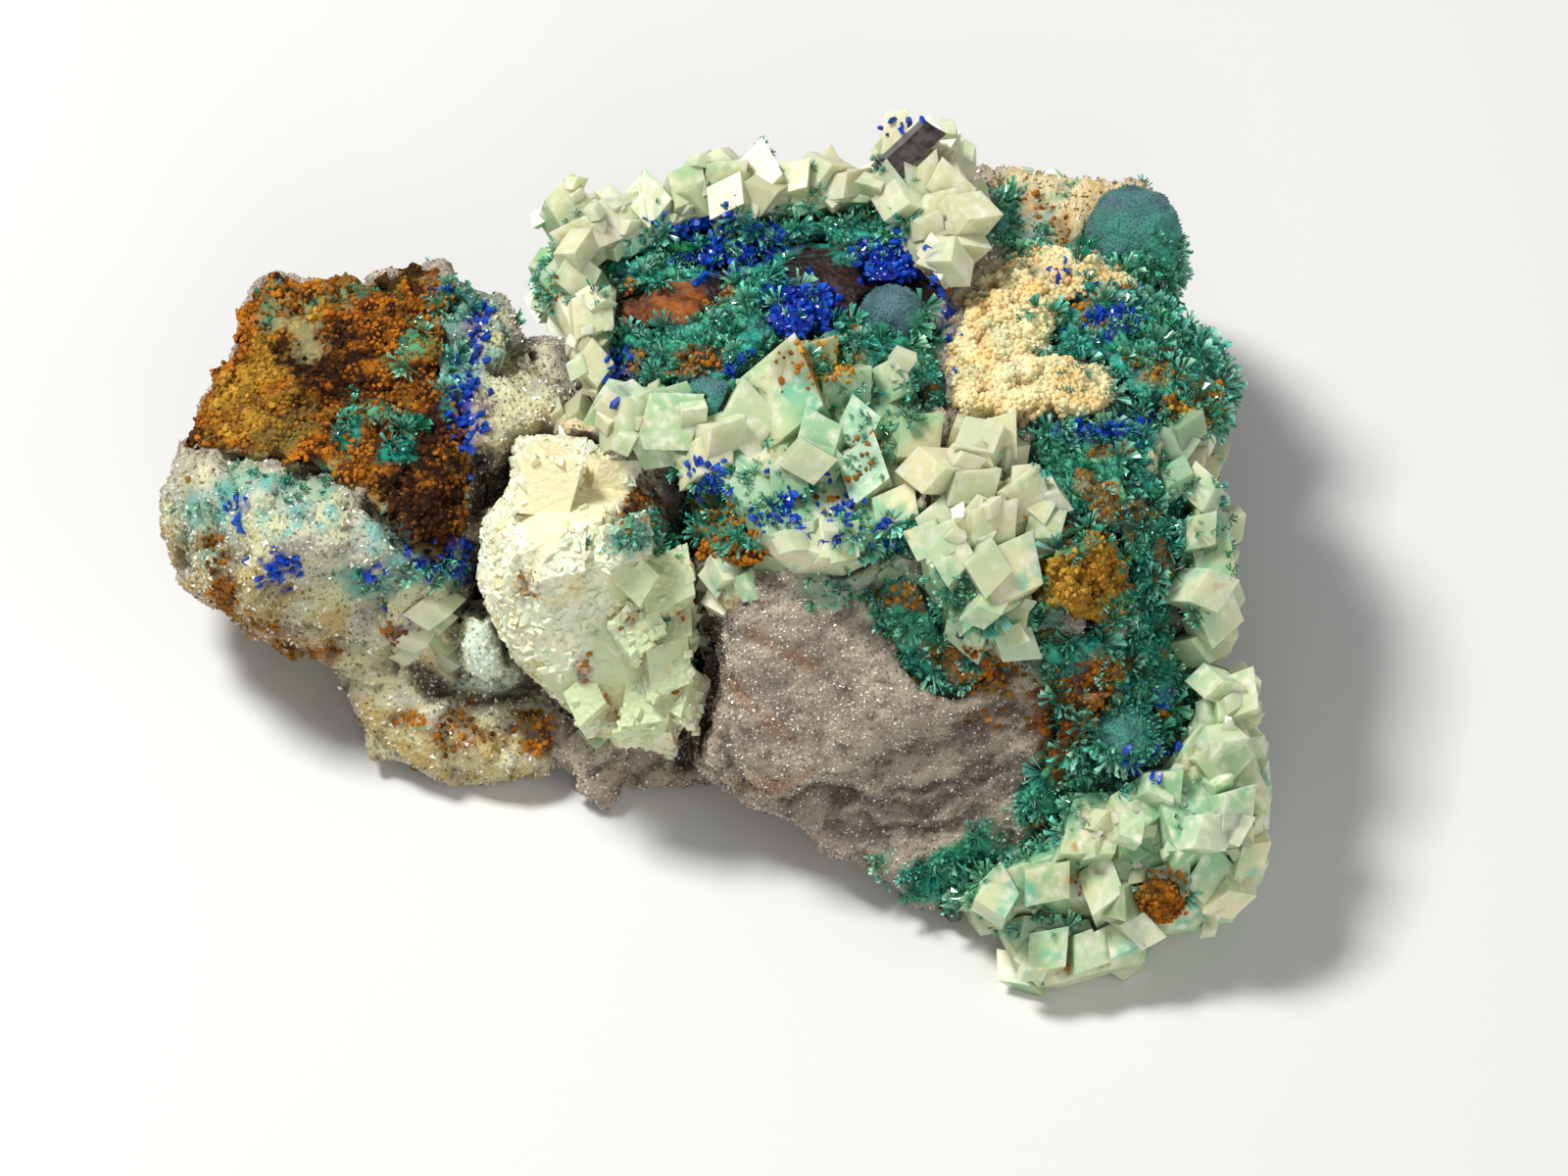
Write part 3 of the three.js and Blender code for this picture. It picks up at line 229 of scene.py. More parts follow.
SPOTS = {
    "tyrolite": [
        (-29.4, 9.3, 0.8, 1.7, 0.8), (-27.6, 11, 1.9, 0.7, 0.8), (-24.7, 9.8, 0.8, 1.3, 0.8),
        (-25.8, 7.7, 1.5, 0.7, 0.8), (-24.2, 16.4, 1.2, 1.8, 0.6), (-21.8, 15.6, 0.9, 2.6, 0.7),
        (-33, 4.6, 3.4, 1.1, 0.4), (-38.8, 5.6, 2.8, 1.2, 0.45), (-41.5, 2.6, 1.6, 1.4, 0.4),
        (-22, -1.6, 2.6, 1.6, 0.6), (27.6, 29.4, 1.6, 0.6, 0.6), (24, 26.4, 1.6, 3, 0.8),
        (26.6, 24.8, 1.8, 1.2, 0.8), (30.6, 25.2, 1, 1.8, 0.8), (15, 30.6, 1.9, 2.2, 0.5),
        (-2, 15.2, 5, 1.7, 1), (3, 3.2, 5.4, 3.4, 0.7), (13.4, 1.2, 3.8, 2.2, 0.8),
        (3.6, 22.6, 2.2, 3.2, 1), (-5.6, 0.9, 2.8, 1.3, 0.8), (25.2, -30.4, 3.6, 0.9, 0.6),
        (18, -5, 4.4, 3.2, 0.6), (10, -3.2, 4.2, 1.6, 0.4), (12.6, 10, 3.2, 4.6, 0.5),
        (16.6, 12.4, 1.6, 3, 0.8), (-13.6, 22, 1.2, 2.6, 0.6), (38.4, -21, 3, 2, 0.25),
        (40.6, 1, 1.6, 6, 0.45), (-21.2, 20, 1.8, 2.4, 0.6), (-20.4, 14, 1.2, 3, 0.5),
        (-36.6, 19.6, 1, 1.6, 0.4), (-28, -2.6, 2.4, 1.2, 0.5), (31.4, 13.6, 3, 2, 0.5),
        (-11.8, 26, 1, 1, 0.4), (17.2, 17.4, 1.6, 2, 0.9), (36.6, 24.6, 1.4, 1.8, 0.6),
        (28.6, 0.4, 1.6, 1.4, 0.8), (33.2, -4.6, 1.6, 1.4, 0.8), (27, -5.6, 1.2, 1.4, 0.8),
        (-30.6, 20.6, 1.8, 0.8, 0.5),
    ],
    "azurite": [
        (0.6, 25, 4.4, 2.2, 1), (9.4, 19.2, 1.2, 0.7, 0.9), (14.3, 23.4, 2.2, 2, 1), (7, 19.3, 2.5, 1.9, 1),
        (-7.8, 13.9, 0.9, 1.3, 1), (0.4, 5.8, 1.9, 1.2, 1), (6.2, 2.6, 1.4, 1.9, 1),
        (10.4, 2.6, 1.2, 1.1, 1), (14.2, 0.6, 1, 0.8, 1), (-35.2, -1.8, 1.1, 1.2, 1),
        (-20.2, 11.6, 1, 2.4, 1), (-21.6, -0.9, 2, 1.5, 0.9), (32.6, 18.7, 1.6, 1, 1),
        (31.8, 9.4, 2.1, 0.7, 1), (19.1, 18.6, 0.4, 1.3, 0.6), (34.6, -17.4, 0.9, 0.7, 1),
        (-24.5, -6.5, 0.6, 1, 0.4), (-27.5, -2, 0.5, 0.5, 0.8), (-19.2, 18.6, 0.7, 1.6, 0.6),
        (15.4, 34.6, 0.8, 0.5, 1), (-38.6, 3.4, 0.4, 0.5, 0.8), (-22.4, 21.4, 0.8, 0.8, 0.4),
        (28.4, 22.2, 0.7, 0.7, 0.7), (36, -12, 0.8, 0.8, 0.4), (1.6, 14.2, 0.8, 0.6, 0.8),
    ],
    "limonite": [
        (28.6, 26, 1.2, 1, 0.8), (-24.6, -14.2, 1.8, 0.8, 0.7), (-20.4, -13.6, 1.4, 0.9, 0.8),
        (-14.2, -15.4, 1.8, 1.6, 0.9), (-41.2, 0.8, 1.4, 0.8, 0.8), (8.6, 15, 3.6, 2.2, 0.7),
        (39.2, 11.6, 2.4, 1.9, 1), (-39.7, -3.2, 1.2, 2.6, 0.9), (-34.6, -8.6, 2.6, 0.7, 0.8),
        (-25.6, -7.2, 0.7, 0.5, 0.9), (-14.6, -14.6, 1.8, 1.6, 0.7), (-14.9, -3.4, 0.8, 0.9, 0.9),
        (-6.3, -5.8, 0.8, 0.8, 0.9), (-10.2, -10, 0.7, 0.8, 0.8), (9, 5, 4, 2.4, 0.3),
        (-21, -15.4, 2.6, 1.2, 0.5), (-37, -5.6, 1.2, 0.8, 0.5), (36.4, -27.8, 2.4, 2, 1),
        (-42.5, 5.4, 1, 1.6, 0.3), (22, -13.6, 2.6, 1, 0.3), (26, 28.6, 2, 1.6, 0.5),
        (34, 2.4, 1.6, 1.6, 0.5), (12.4, 8, 1.8, 1.8, 0.6), (1.6, 1.6, 2.6, 2.4, 0.9),
        (29, 25.2, 1.6, 0.9, 0.7), (-13.4, 20.6, 0.9, 1.2, 0.6), (29.6, -27, 0.7, 0.7, 0.8),
        (13, -4.2, 1.6, 0.7, 0.5), (36, 14.6, 2.2, 1.6, 0.6), (28.6, -12.4, 1.6, 2.2, 0.5),
        (36.4, -1.6, 1.2, 2.6, 0.5),
    ],
    "cream": [
        (38.8, 7.4, 3, 2.3, 1), (23, 21, 4, 4, 0.4), (29, 29.8, 4.5, 1.2, 0.5),
        (-22.6, -7.6, 1.9, 2.6, 0.8), (-11.6, 10.4, 3.4, 1.4, 0.7), (0.8, -3.4, 1.8, 1.8, 0.8),
    ],
    "aqua": [
        (-36, 3.4, 7, 2.4, 0.8), (-27, -1, 3, 3.6, 0.7), (-41.4, 2, 2.6, 3.4, 0.6),
        (-19.4, 18, 2.4, 5, 0.6), (20, -3, 3, 3, 0.5), (25, 27, 3, 3, 0.6), (36, -22, 4, 3, 0.4),
        (-21, 16, 1.2, 4.4, 0.8),
    ],
    "clear": [
        (16, 32.6, 1.5, 2, 1), (-13.2, 4.4, 2.8, 4.2, 1), (-8.6, 5.2, 1.8, 3, 1), (-0.2, 11.4, 2.2, 2.6, 1),
        (14.2, 20.2, 2.4, 2.2, 1), (3.6, 18, 1.7, 1.8, 1), (33.6, 26.4, 3.6, 2.2, 1),
        (12.2, -7.4, 1.6, 1.4, 1), (32.9, -14.9, 2, 1.6, 0.6), (38.8, 7.4, 2.4, 1.7, 1),
    ],
}
ZONES = (
    "rhomb", "pale", "warm", "tan", "cream", "milky", "mint", "aqua", "tyrolite", "azurite", "limonite",
    "ochre", "streak", "dark", "clear",
)

# The bare druse face, which stays smooth where the rest of the rock breaks into chips
DRUSE_FACE = [
    (0, -5), (5, -3), (10, -5), (18, -11), (25, -16), (25, -22), (18, -26), (10, -24), (2, -19), (0, -17),
]

# Chips of broken rock: distance apart in millimetres, steepness and most height
CHIPS = {
    "matrix_rock": (5.2, 0.3, 0.9),
    "limonite_left_face": (3.0, 0.4, 0.6),
    "cream_crust": (2.6, 0.4, 0.5),
    "limonite_right": (2.0, 0.5, 0.7),
    "limonite_centre": (2.0, 0.4, 0.5),
    "azurite_top": (1.7, 0.4, 0.4),
    "azurite_window": (1.7, 0.4, 0.4),
    "azurite_middle": (1.7, 0.5, 0.5),
    "tyrolite_frill": (2.6, 0.4, 0.5),
    "tyrolite_sheaf": (2.6, 0.4, 0.5),
    "tyrolite_dome": (3.0, 0.4, 0.7),
    "tyrolite_flank": (3.0, 0.4, 0.7),
    "tyrolite_hollow": (3.0, 0.4, 0.7),
}

# Creases cut into the skins: course (x, v), depth, reach above it and reach below it
CREASES = [
    ([(5.6, -20.3), (8.3, -19.3), (10.7, -19.3), (13.1, -20.3), (16.2, -21), (19, -20), (23.1, -17.6)],
     1.2, 0.25, 1.2),
    ([(13.4, -17.2), (15, -16.4), (17, -15.8), (19, -15.2), (21, -13.8), (23.6, -12.4)], 1.0, 0.25, 1.0),
    ([(14.8, -19.4), (17, -19.2), (19.7, -18.6), (22.7, -16.6)], 1.0, 0.25, 0.9),
    ([(12, -21.6), (14, -22.2), (16.2, -22.6), (19, -22.4), (21.4, -20.8)], 1.1, 0.25, 1.1),
    ([(10.4, -22.6), (12.5, -23.2), (14.5, -23.6)], 1.0, 0.9, 1.2),
    ([(3.6, -6.6), (5.9, -8.3), (8.6, -9.5)], 0.35, 0.5, 0.9),
    ([(1.4, -10), (2.4, -11.6), (4.2, -13.4), (6.8, -16)], 0.4, 0.5, 0.9),
    ([(-1.9, 6), (-1.5, 2), (-0.7, -2), (-0.1, -6), (-0.3, -10), (-0.9, -14), (-2, -17)], 3.2, 0.7, 0.7),
    ([(-18.9, 7), (-19.3, 3), (-19.6, 0), (-19.3, -3), (-18, -5)], 2.6, 0.6, 0.6),
    ([(-24.5, -9.8), (-22.4, -11.6), (-19, -12.4), (-15.6, -12), (-13.6, -11)], 2.4, 0.5, 0.6),
    ([(-21.4, -4.6), (-20.9, -7.5), (-20.4, -10.4), (-20.8, -12)], 1.4, 0.35, 0.35),
    ([(-17.5, -5), (-16, -8.5), (-14.6, -11)], 1.8, 0.4, 0.4),
    ([(-42.5, 8), (-38, 7.2), (-32, 6), (-29, 4.6), (-26.8, 2.2), (-24.8, -0.9)], 0.8, 0.3, 0.5),
    ([(-36, -6.4), (-32, -6.6), (-28, -8.2)], 0.9, 0.3, 0.8),
    ([(-16.2, 8.4), (-12.6, 8.2), (-9.6, 7.6)], 1.6, 0.4, 0.5),
]
ZONE_OF_NODE = {"tyrolite": "tyrolite", "azurite": "azurite", "limonite": "limonite", "rhombs": "rhomb"}


def srgb(red, green, blue):
    """A colour as seen on a screen, 0 to 255, turned into the shader's values."""
    return tuple(((c / 255 + 0.055) / 1.055) ** 2.4 for c in (red, green, blue)) + (1.0,)


# Node trees
def add(tree, kind, sockets=None, **settings):
    """Places a node, with its settings, and with its inputs as values or links."""
    made = tree.nodes.new(kind)
    for key, value in settings.items():
        setattr(made, key, value)
    for key, value in (sockets or {}).items():
        if isinstance(key, str):
            socket = next(s for s in made.inputs if s.enabled and s.name == key)
        else:
            socket = made.inputs[key]
        if isinstance(value, bpy.types.NodeSocket):
            tree.links.new(value, socket)
        else:
            socket.default_value = value
    return made


def out(made):
    """A node's first output that is in use."""
    return next(s for s in made.outputs if s.enabled)


def maths(tree, operation, first, second):
    return out(add(tree, "ShaderNodeMath", {0: first, 1: second}, operation=operation))


def times(tree, first, second):
    return maths(tree, "MULTIPLY", first, second)


def at(tree):
    """Where a point of a finish lies on its object."""
    return add(tree, "ShaderNodeTexCoord").outputs["Object"]


def stretched(tree, place, stretch):
    return out(add(tree, "ShaderNodeVectorMath", {0: place, 1: stretch}, operation="MULTIPLY"))


def noise(tree, sockets, **settings):
    return add(tree, "ShaderNodeTexNoise", sockets, **settings).outputs[0]


def ramp(tree, value, low, high, most=1.0):
    """A value spread over 0 to most, between its low and its high end."""
    sockets = {"Value": value, "From Min": low, "From Max": high, "To Max": most}
    return out(add(tree, "ShaderNodeMapRange", sockets))


def new_group(name, kind, inputs, outputs):
    """A node group with named inputs (name, socket kind, value) and outputs (name, socket kind)."""
    tree = bpy.data.node_groups.new(name, kind)
    for label, socket, value in inputs:
        made = tree.interface.new_socket(name=label, in_out="INPUT", socket_type=socket)
        if value is not None:
            made.default_value = value
    for label, socket in outputs:
        tree.interface.new_socket(name=label, in_out="OUTPUT", socket_type=socket)
    return tree, tree.nodes.new("NodeGroupInput").outputs, tree.nodes.new("NodeGroupOutput").inputs


FLOAT, GEOMETRY = "NodeSocketFloat", "NodeSocketGeometry"


def set_inputs(modifier, values):
    """Sets a Geometry Nodes modifier's inputs, by the names that its tree gives them."""
    for item in modifier.node_group.interface.items_tree:
        if item.item_type == "SOCKET" and item.in_out == "INPUT" and item.name in values:
            modifier[item.identifier] = values[item.name]


def settled(obj):
    """The object with its modifiers worked into a plain mesh."""
    bpy.context.view_layer.update()
    shaped = obj.evaluated_get(bpy.context.evaluated_depsgraph_get())
    mesh = bpy.data.meshes.new_from_object(shaped)
    obj.modifiers.clear()
    obj.data = mesh
    mesh.name = obj.name
    return obj


# Rough skins
def roughness_tree():
    """Moves a skin in and out by lumps, grains, cells and beds, and leaves its foot flat."""
    tree, given, result = new_group(
        "rough_skin", "GeometryNodeTree",
        [("Geometry", GEOMETRY, None)] + [
            (f"{part} {what}", FLOAT, 1.0) for part in RELIEF_PARTS for what in ("Size", "Height")
        ] + [("Seed", FLOAT, 0.0)],
        [("Geometry", GEOMETRY)],
    )
    place = out(add(tree, "GeometryNodeInputPosition"))

    def wave(part, kind, settings, detail, stretch=None):
        spot = place
        if stretch:
            spot = stretched(tree, place, stretch)
        scale = maths(tree, "DIVIDE", 1 / MM, given[f"{part} Size"])
        sockets = {"Vector": spot, "W": given["Seed"], "Scale": scale, **detail}
        value = add(tree, kind, sockets, **settings).outputs[0]
        return times(tree, maths(tree, "SUBTRACT", value, 0.5), given[f"{part} Height"])

    waves = ("ShaderNodeTexNoise", {"noise_dimensions": "4D"})
    cells = ("ShaderNodeTexVoronoi", {"voronoi_dimensions": "4D", "feature": "F1"})
    total = maths(tree, "ADD", wave("Lump", *waves, {"Detail": 2.0}), wave("Grain", *waves, {"Detail": 3.0}))
    total = maths(tree, "SUBTRACT", total, wave("Cell", *cells, {}))
    total = maths(tree, "ADD", total, wave("Bed", *waves, {"Detail": 1.0}, BED_STRETCH))
    height = add(tree, "ShaderNodeSeparateXYZ", {0: place}).outputs["Z"]
    footing = ramp(tree, height, FOOT_FLAT * MM, FOOT_FULL * MM)
    total = times(tree, times(tree, total, footing), 2 * MM)
    facing = out(add(tree, "GeometryNodeInputNormal"))
    shift = out(add(tree, "ShaderNodeVectorMath", {0: facing, 3: total}, operation="SCALE"))
    moved = add(tree, "GeometryNodeSetPosition", {"Geometry": given["Geometry"], "Offset": shift})
    tree.links.new(out(moved), result["Geometry"])


def copied(name):
    """A node's mesh, merged, in an object of its own."""
    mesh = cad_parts[name].data.copy()
    shape = bmesh.new()
    shape.from_mesh(mesh)
    bmesh.ops.remove_doubles(shape, verts=shape.verts, dist=MERGE)
    shape.to_mesh(mesh)
    shape.free()
    obj = bpy.data.objects.new(f"{name}_skin", mesh)
    bpy.context.scene.collection.objects.link(obj)
    return obj


def skin(name, seed, voxel, swell, *relief):
    """A node's form, remeshed finely, roughened and swollen, kept inside the frame's box and on its floor."""
    obj = copied(name)
    remesh = obj.modifiers.new("remesh", "REMESH")
    remesh.mode = "VOXEL"
    remesh.voxel_size = voxel * MM
    smooth = obj.modifiers.new("smooth", "SMOOTH")
    smooth.iterations = 2
    rough = obj.modifiers.new("rough", "NODES")
    rough.node_group = bpy.data.node_groups["rough_skin"]
    values = {"Seed": float(seed)}
    for part, (size, height) in zip(RELIEF_PARTS, relief):
        values[f"{part} Size"] = size
        values[f"{part} Height"] = height
    set_inputs(rough, values)
    settled(obj)
    put_places(obj, places(obj) + swell * MM * normals(obj))
    return obj


def facets(name):
    """A crystal group's own facets, cut finer so that they can carry marks, with faint growth steps."""
    obj = copied(name)
    finer = obj.modifiers.new("finer", "SUBSURF")
    finer.subdivision_type = "SIMPLE"
    finer.levels = finer.render_levels = 2
    settled(obj)
    points = places(obj)
    steps = STEP_HEIGHT * ripple(points / MM, *STEP_WAVE)[:, None] * normals(obj) * MM
    put_places(obj, points - np.abs(steps))
    return obj


def places(obj):
    """A mesh's points, as rows."""
    points = np.empty(len(obj.data.vertices) * 3, dtype=np.float32)
    obj.data.vertices.foreach_get("co", points)
    return points.reshape(-1, 3)


def normals(obj):
    values = np.empty(len(obj.data.vertices) * 3, dtype=np.float32)
    obj.data.vertex_normals.foreach_get("vector", values)
    return values.reshape(-1, 3)


# Zones
def ripple(points, size, seed):
    """A smooth wave over space, from about -1 to 1."""
    stream = random.Random(seed)
    total = np.zeros(len(points))
    for _ in range(7):
        way = Vector([stream.gauss(0, 1) for _ in range(3)]).normalized()
        wave = size * stream.uniform(0.5, 1.6)
        total += np.sin(points @ np.array(way) * (2 * math.pi / wave) + stream.uniform(0, 6.3))
    return total / 3.2


def mixed(points, waves, strengths):
    """Two waves added, each with its own strength."""
    first, second = (ripple(points, *wave) * strength for wave, strength in zip(waves, strengths))
    return first + second


def on_face(points):
    """Where points in millimetres lie across and up the display face."""
    rel = points - np.array(FACE_ORIGIN)
    return rel[:, 0], rel @ np.array(FACE_UP)


def gap_to(x, v, start, end):
    """How far points lie from a stretch of line, across and up."""
    (ax, av), (bx, bv) = start, end
    along = ((x - ax) * (bx - ax) + (v - av) * (bv - av)) / ((bx - ax) ** 2 + (bv - av) ** 2)
    along = np.clip(along, 0, 1)
    return x - ax - along * (bx - ax), v - av - along * (bv - av)


def inside_depth(x, v, outline):
    """How far inside an outline each point lies, in millimetres, and below nothing outside it."""
    odd = np.zeros(len(x), dtype=bool)
    nearest = np.full(len(x), 1e9)
    for (ax, av), (bx, bv) in zip(outline, outline[1:] + outline[:1]):
        crosses = (av > v) != (bv > v)
        odd ^= crosses & (x < (bx - ax) * (v - av) / (bv - av + 1e-12) + ax)
        nearest = np.minimum(nearest, np.hypot(*gap_to(x, v, (ax, av), (bx, bv))))
    return np.where(odd, nearest, -nearest)


def mark_zones(obj, node):
    """Stores how strongly each mineral covers each point of a skin."""
    points = places(obj) / MM
    x, v = on_face(points)
    front = np.clip(normals(obj) @ np.array(FACE_OUT) * 2 + 0.6, 0, 1)
    blur = mixed(points, BLUR_WAVES, (0.9, 0.6))
    own = ZONE_OF_NODE.get(node.split("_")[0])
    ragged = mixed(points, RAGGED_WAVES, (0.8, 0.6))
    for number, zone in enumerate(ZONES):
        cover = np.zeros(len(points))
        edge = 0.25 * blur if zone == "streak" else blur
        rim = ragged if zone == "azurite" else 0.45 * blur
        for outline in OUTLINES.get(zone, []):
            cover = np.maximum(cover, np.clip((inside_depth(x, v, outline) + edge) / 0.8 + 0.5, 0, 1))
        for sx, sv, half_x, half_v, strength in SPOTS.get(zone, []):
            depth = (1 - np.hypot((x - sx) / half_x, (v - sv) / half_v)) * min(half_x, half_v)
            cover = np.maximum(cover, strength * np.clip((depth + rim) / 0.5 + 0.5, 0, 1))
        cover *= front
        patches = np.clip(ripple(points, 16, 40 + number) * 2.2 + ripple(points, 4, 60 + number) - 1.9, 0, 1)
        if zone in ("tyrolite", "limonite", "rhomb", "pale"):
            cover = np.maximum(cover, (1 - front) * patches * 0.5)
        if zone == own:
            cover = np.maximum(cover, 1.0)
        store(obj, zone, cover)
    store(obj, "front", front)


def chip(obj, apart, steep, most):
    """Breaks a skin into flat chips that lean against one another."""
    points = places(obj) / MM
    stream = random.Random(CHIP_SEED)
    low, high = points.min(axis=0), points.max(axis=0)
    count = int(np.prod((high - low) / apart + 1))
    seeds = [Vector([stream.uniform(low[k], high[k]) for k in range(3)]) for _ in range(count)]
    leans = np.array([Vector([stream.gauss(0, 1) for _ in range(3)]).normalized() for _ in range(count)])
    tree = KDTree(count)
    for i, place in enumerate(seeds):
        tree.insert(place, i)
    tree.balance()
    nearest = np.array([tree.find(Vector(point))[1] for point in points])
    height = np.einsum("ij,ij->i", points - np.array(seeds)[nearest], leans[nearest]) * steep
    smooth = np.clip(inside_depth(*on_face(points), DRUSE_FACE) / 1.5, 0, 1)
    smooth *= np.clip(normals(obj) @ np.array(FACE_OUT) * 3, 0, 1)
    height = np.clip(height, -most, most) * (1 - 0.9 * smooth) * np.clip((points[:, 2] - 0.4) / 1.5, 0, 1)
    put_places(obj, (points + height[:, None] * normals(obj)) * MM)


def cut_creases(obj):
    """Presses creases into the front of a skin, each with its own reach above and below its course."""
    points = places(obj) / MM
    facing = np.clip(normals(obj) @ np.array(FACE_OUT) * 3, 0, 1)
    x, v = on_face(points)
    x = x + CREASE_WOBBLE * ripple(points, *CREASE_WAVES[0])
    v = v + CREASE_WOBBLE * ripple(points, *CREASE_WAVES[1])
    depth = np.zeros(len(points))
    for course, deepest, above, below in CREASES:
        nearest = np.full(len(points), 1e9)
        side = np.zeros(len(points))
        for (ax, av), (bx, bv) in zip(course, course[1:]):
            gap_x, gap_v = gap_to(x, v, (ax, av), (bx, bv))
            gap = np.hypot(gap_x, gap_v)
            closer = gap < nearest
            nearest = np.where(closer, gap, nearest)
            side = np.where(closer, (bx - ax) * gap_v - (bv - av) * gap_x, side)
        reach = np.where(side > 0, above, below)
        depth = np.maximum(depth, deepest * np.exp(-((nearest / reach) ** 1.4)))
    depth *= facing * np.clip((points[:, 2] - 0.5) / 2, 0, 1)
    put_places(obj, (points - depth[:, None] * np.array(FACE_OUT)) * MM)
    store(obj, "crease", np.clip(depth / 1.1, 0, 1))


def put_places(obj, points):
    """Moves a mesh's points, kept inside the frame's box."""
    low, high = np.array(cad_box[0]) + BOX_MARGIN, np.array(cad_box[1]) - BOX_MARGIN
    obj.data.vertices.foreach_set("co", np.clip(points, low, high).astype(np.float32).ravel())
    obj.data.update()


def fetch(obj, name):
    """A mark's values at a mesh's points, all nothing where it has no such mark."""
    values = np.zeros(len(obj.data.vertices), dtype=np.float32)
    if name in obj.data.attributes:
        obj.data.attributes[name].data.foreach_get("value", values)
    return values


def store(obj, name, values):
    layer = obj.data.attributes.get(name) or obj.data.attributes.new(name, "FLOAT", "POINT")
    layer.data.foreach_set("value", np.asarray(values, dtype=np.float32))


def mark_shelter(objects):
    """Marks which points of a skin are free, and how deep in a hollow between crystals each one lies."""
    solid = bmesh.new()
    for obj in objects:
        solid.from_mesh(obj.data)
    tree = BVHTree.FromBMesh(solid)
    solid.free()
    around = [(math.cos(a), math.sin(a)) for a in RAYS_AROUND]
    for obj in objects:
        points, facing = places(obj), normals(obj)
        free, hollow = np.ones(len(points)), np.zeros(len(points))
        for i, (point, out_way) in enumerate(zip(points, facing)):
            point, out_way = Vector(point), Vector(out_way)
            start = point + out_way * RAY_START * MM
            if tree.ray_cast(start, out_way, COVER_REACH * MM)[0] is not None:
                free[i] = 0
            across = out_way.orthogonal().normalized()
            other = out_way.cross(across)
            for first, second in around:
                way = out_way * RAY_SLANT + across * first + other * second
                if tree.ray_cast(start, way, HOLLOW_REACH * MM)[0] is not None:
                    hollow[i] += 1 / len(around)
        free[points[:, 2] < BARE_FOOT * MM] = 0
        store(obj, "exposed", free)
        store(obj, "hollow", hollow)


def settle_zones(obj):
    """Lets one mineral give way to another, and puts green sprigs and rust between crystals."""
    points = places(obj) / MM
    rhombs, green = fetch(obj, "rhomb"), fetch(obj, "tyrolite")
    hollow = fetch(obj, "hollow")
    clear = 1 - fetch(obj, "clear")
    seam = np.clip((hollow - 0.3) * 2.5, 0, 1) * rhombs
    drift = mixed(points, DRIFT_WAVES, (1, 0.5))
    green = np.maximum(green, 0.8 * seam * np.clip(drift * 2 - 0.2, 0, 1))
    rust = np.maximum(fetch(obj, "limonite"), 0.8 * seam * np.clip(-drift * 2 - 1.0, 0, 1))
    blue = fetch(obj, "azurite")
    gaps = np.zeros(len(points))
    if obj.name.startswith("tyrolite"):
        rusty_gap = np.clip(ripple(points, *RUSTY_GAP_WAVE) * 2.6 - 1.0, 0, 1) * green
        gaps = np.clip(ripple(points, *CREAM_GAP_WAVE) * 2.6 - 1.3, 0, 1) * green
        rust = np.maximum(rust, 0.8 * rusty_gap)
        green = green * (1 - 0.75 * np.maximum(rusty_gap, gaps))
    else:
        rust = rust * (1 - 0.7 * green)
    if obj.name.startswith("limonite"):
        rust = rust * (1 - 0.9 * fetch(obj, "pale"))
    if obj.name.startswith("azurite"):
        green_gap = np.clip(ripple(points, *GREEN_GAP_WAVE) * 2.4 - 0.5, 0, 1)
        green = np.maximum(green, 0.9 * green_gap)
        blue = blue * (1 - green_gap)
    if obj.name.startswith("rhombs"):
        rhombs = rhombs * np.clip(mixed(points, CLUSTER_WAVES, (2.2, 0.7)) + 0.75, 0.12, 1)
    others = np.clip(1.6 * np.maximum(np.maximum(green, rust), blue), 0, 1)
    store(obj, "tyrolite", green * clear)
    store(obj, "limonite", rust * clear)
    store(obj, "azurite", blue * clear)
    store(obj, "rhomb", np.maximum(rhombs * (1 - others), 0.38 * gaps) * clear)


# Small shapes that grow on the skins, each a unit high or across. The corners of a square, the faces of a
# box of eight corners, the edges of a cleavage rhomb, and the turn from one blade of a rosette to the next
CORNERS = ((-1, -1), (1, -1), (1, 1), (-1, 1))
SIDES = [(0, 1, 5, 4), (1, 2, 6, 5), (2, 3, 7, 6), (3, 0, 4, 7)]
ALONG, OVER, UP = Vector((1, 0, 0)), Vector((0.26, 0.97, 0)), Vector((0.26, 0.2, 0.95))
BLADE_TURN = 2.4


def template(name, points, faces):
    mesh = bpy.data.meshes.new(name)
    mesh.from_pydata([tuple(p) for p in points], [], faces)
    shape = bmesh.new()
    shape.from_mesh(mesh)
    bmesh.ops.recalc_face_normals(shape, faces=shape.faces)
    shape.to_mesh(mesh)
    shape.free()
    return tipped(bpy.data.objects.new(name, mesh))


def tipped(obj):
    """Marks how far out each point of a small shape is, so that its finish can fade from root to tip."""
    store(obj, "tip", np.clip(np.linalg.norm(places(obj) + np.array((0, 0, 0.1)), axis=1), 0, 1))
    return obj


def rosette(number, blades, width, spread):
    """Thin blades that radiate from one point and widen to their tips."""
    stream = random.Random(number)
    points, faces = [], []
    for i in range(blades):
        lean = math.radians(stream.uniform(8, spread))
        turn = i * BLADE_TURN + stream.uniform(-0.4, 0.4)
        length = stream.uniform(0.7, 1.0)
        pose = Euler((0, lean, turn)).to_matrix() @ Euler((0, 0, stream.uniform(0, 3.1))).to_matrix()
        half = width * stream.uniform(0.35, 0.65)
        base = len(points)
        for point in ((0, 0, 0), (half, 0, 0.93), (-half, 0, 1), (0, half * 0.6, 0.6)):
            points.append(pose @ Vector(point) * length)
        faces += [tuple(base + k for k in face) for face in ((0, 2, 1), (0, 1, 3), (1, 2, 3), (2, 0, 3))]
    return template(f"rosette_{number}", points, faces)


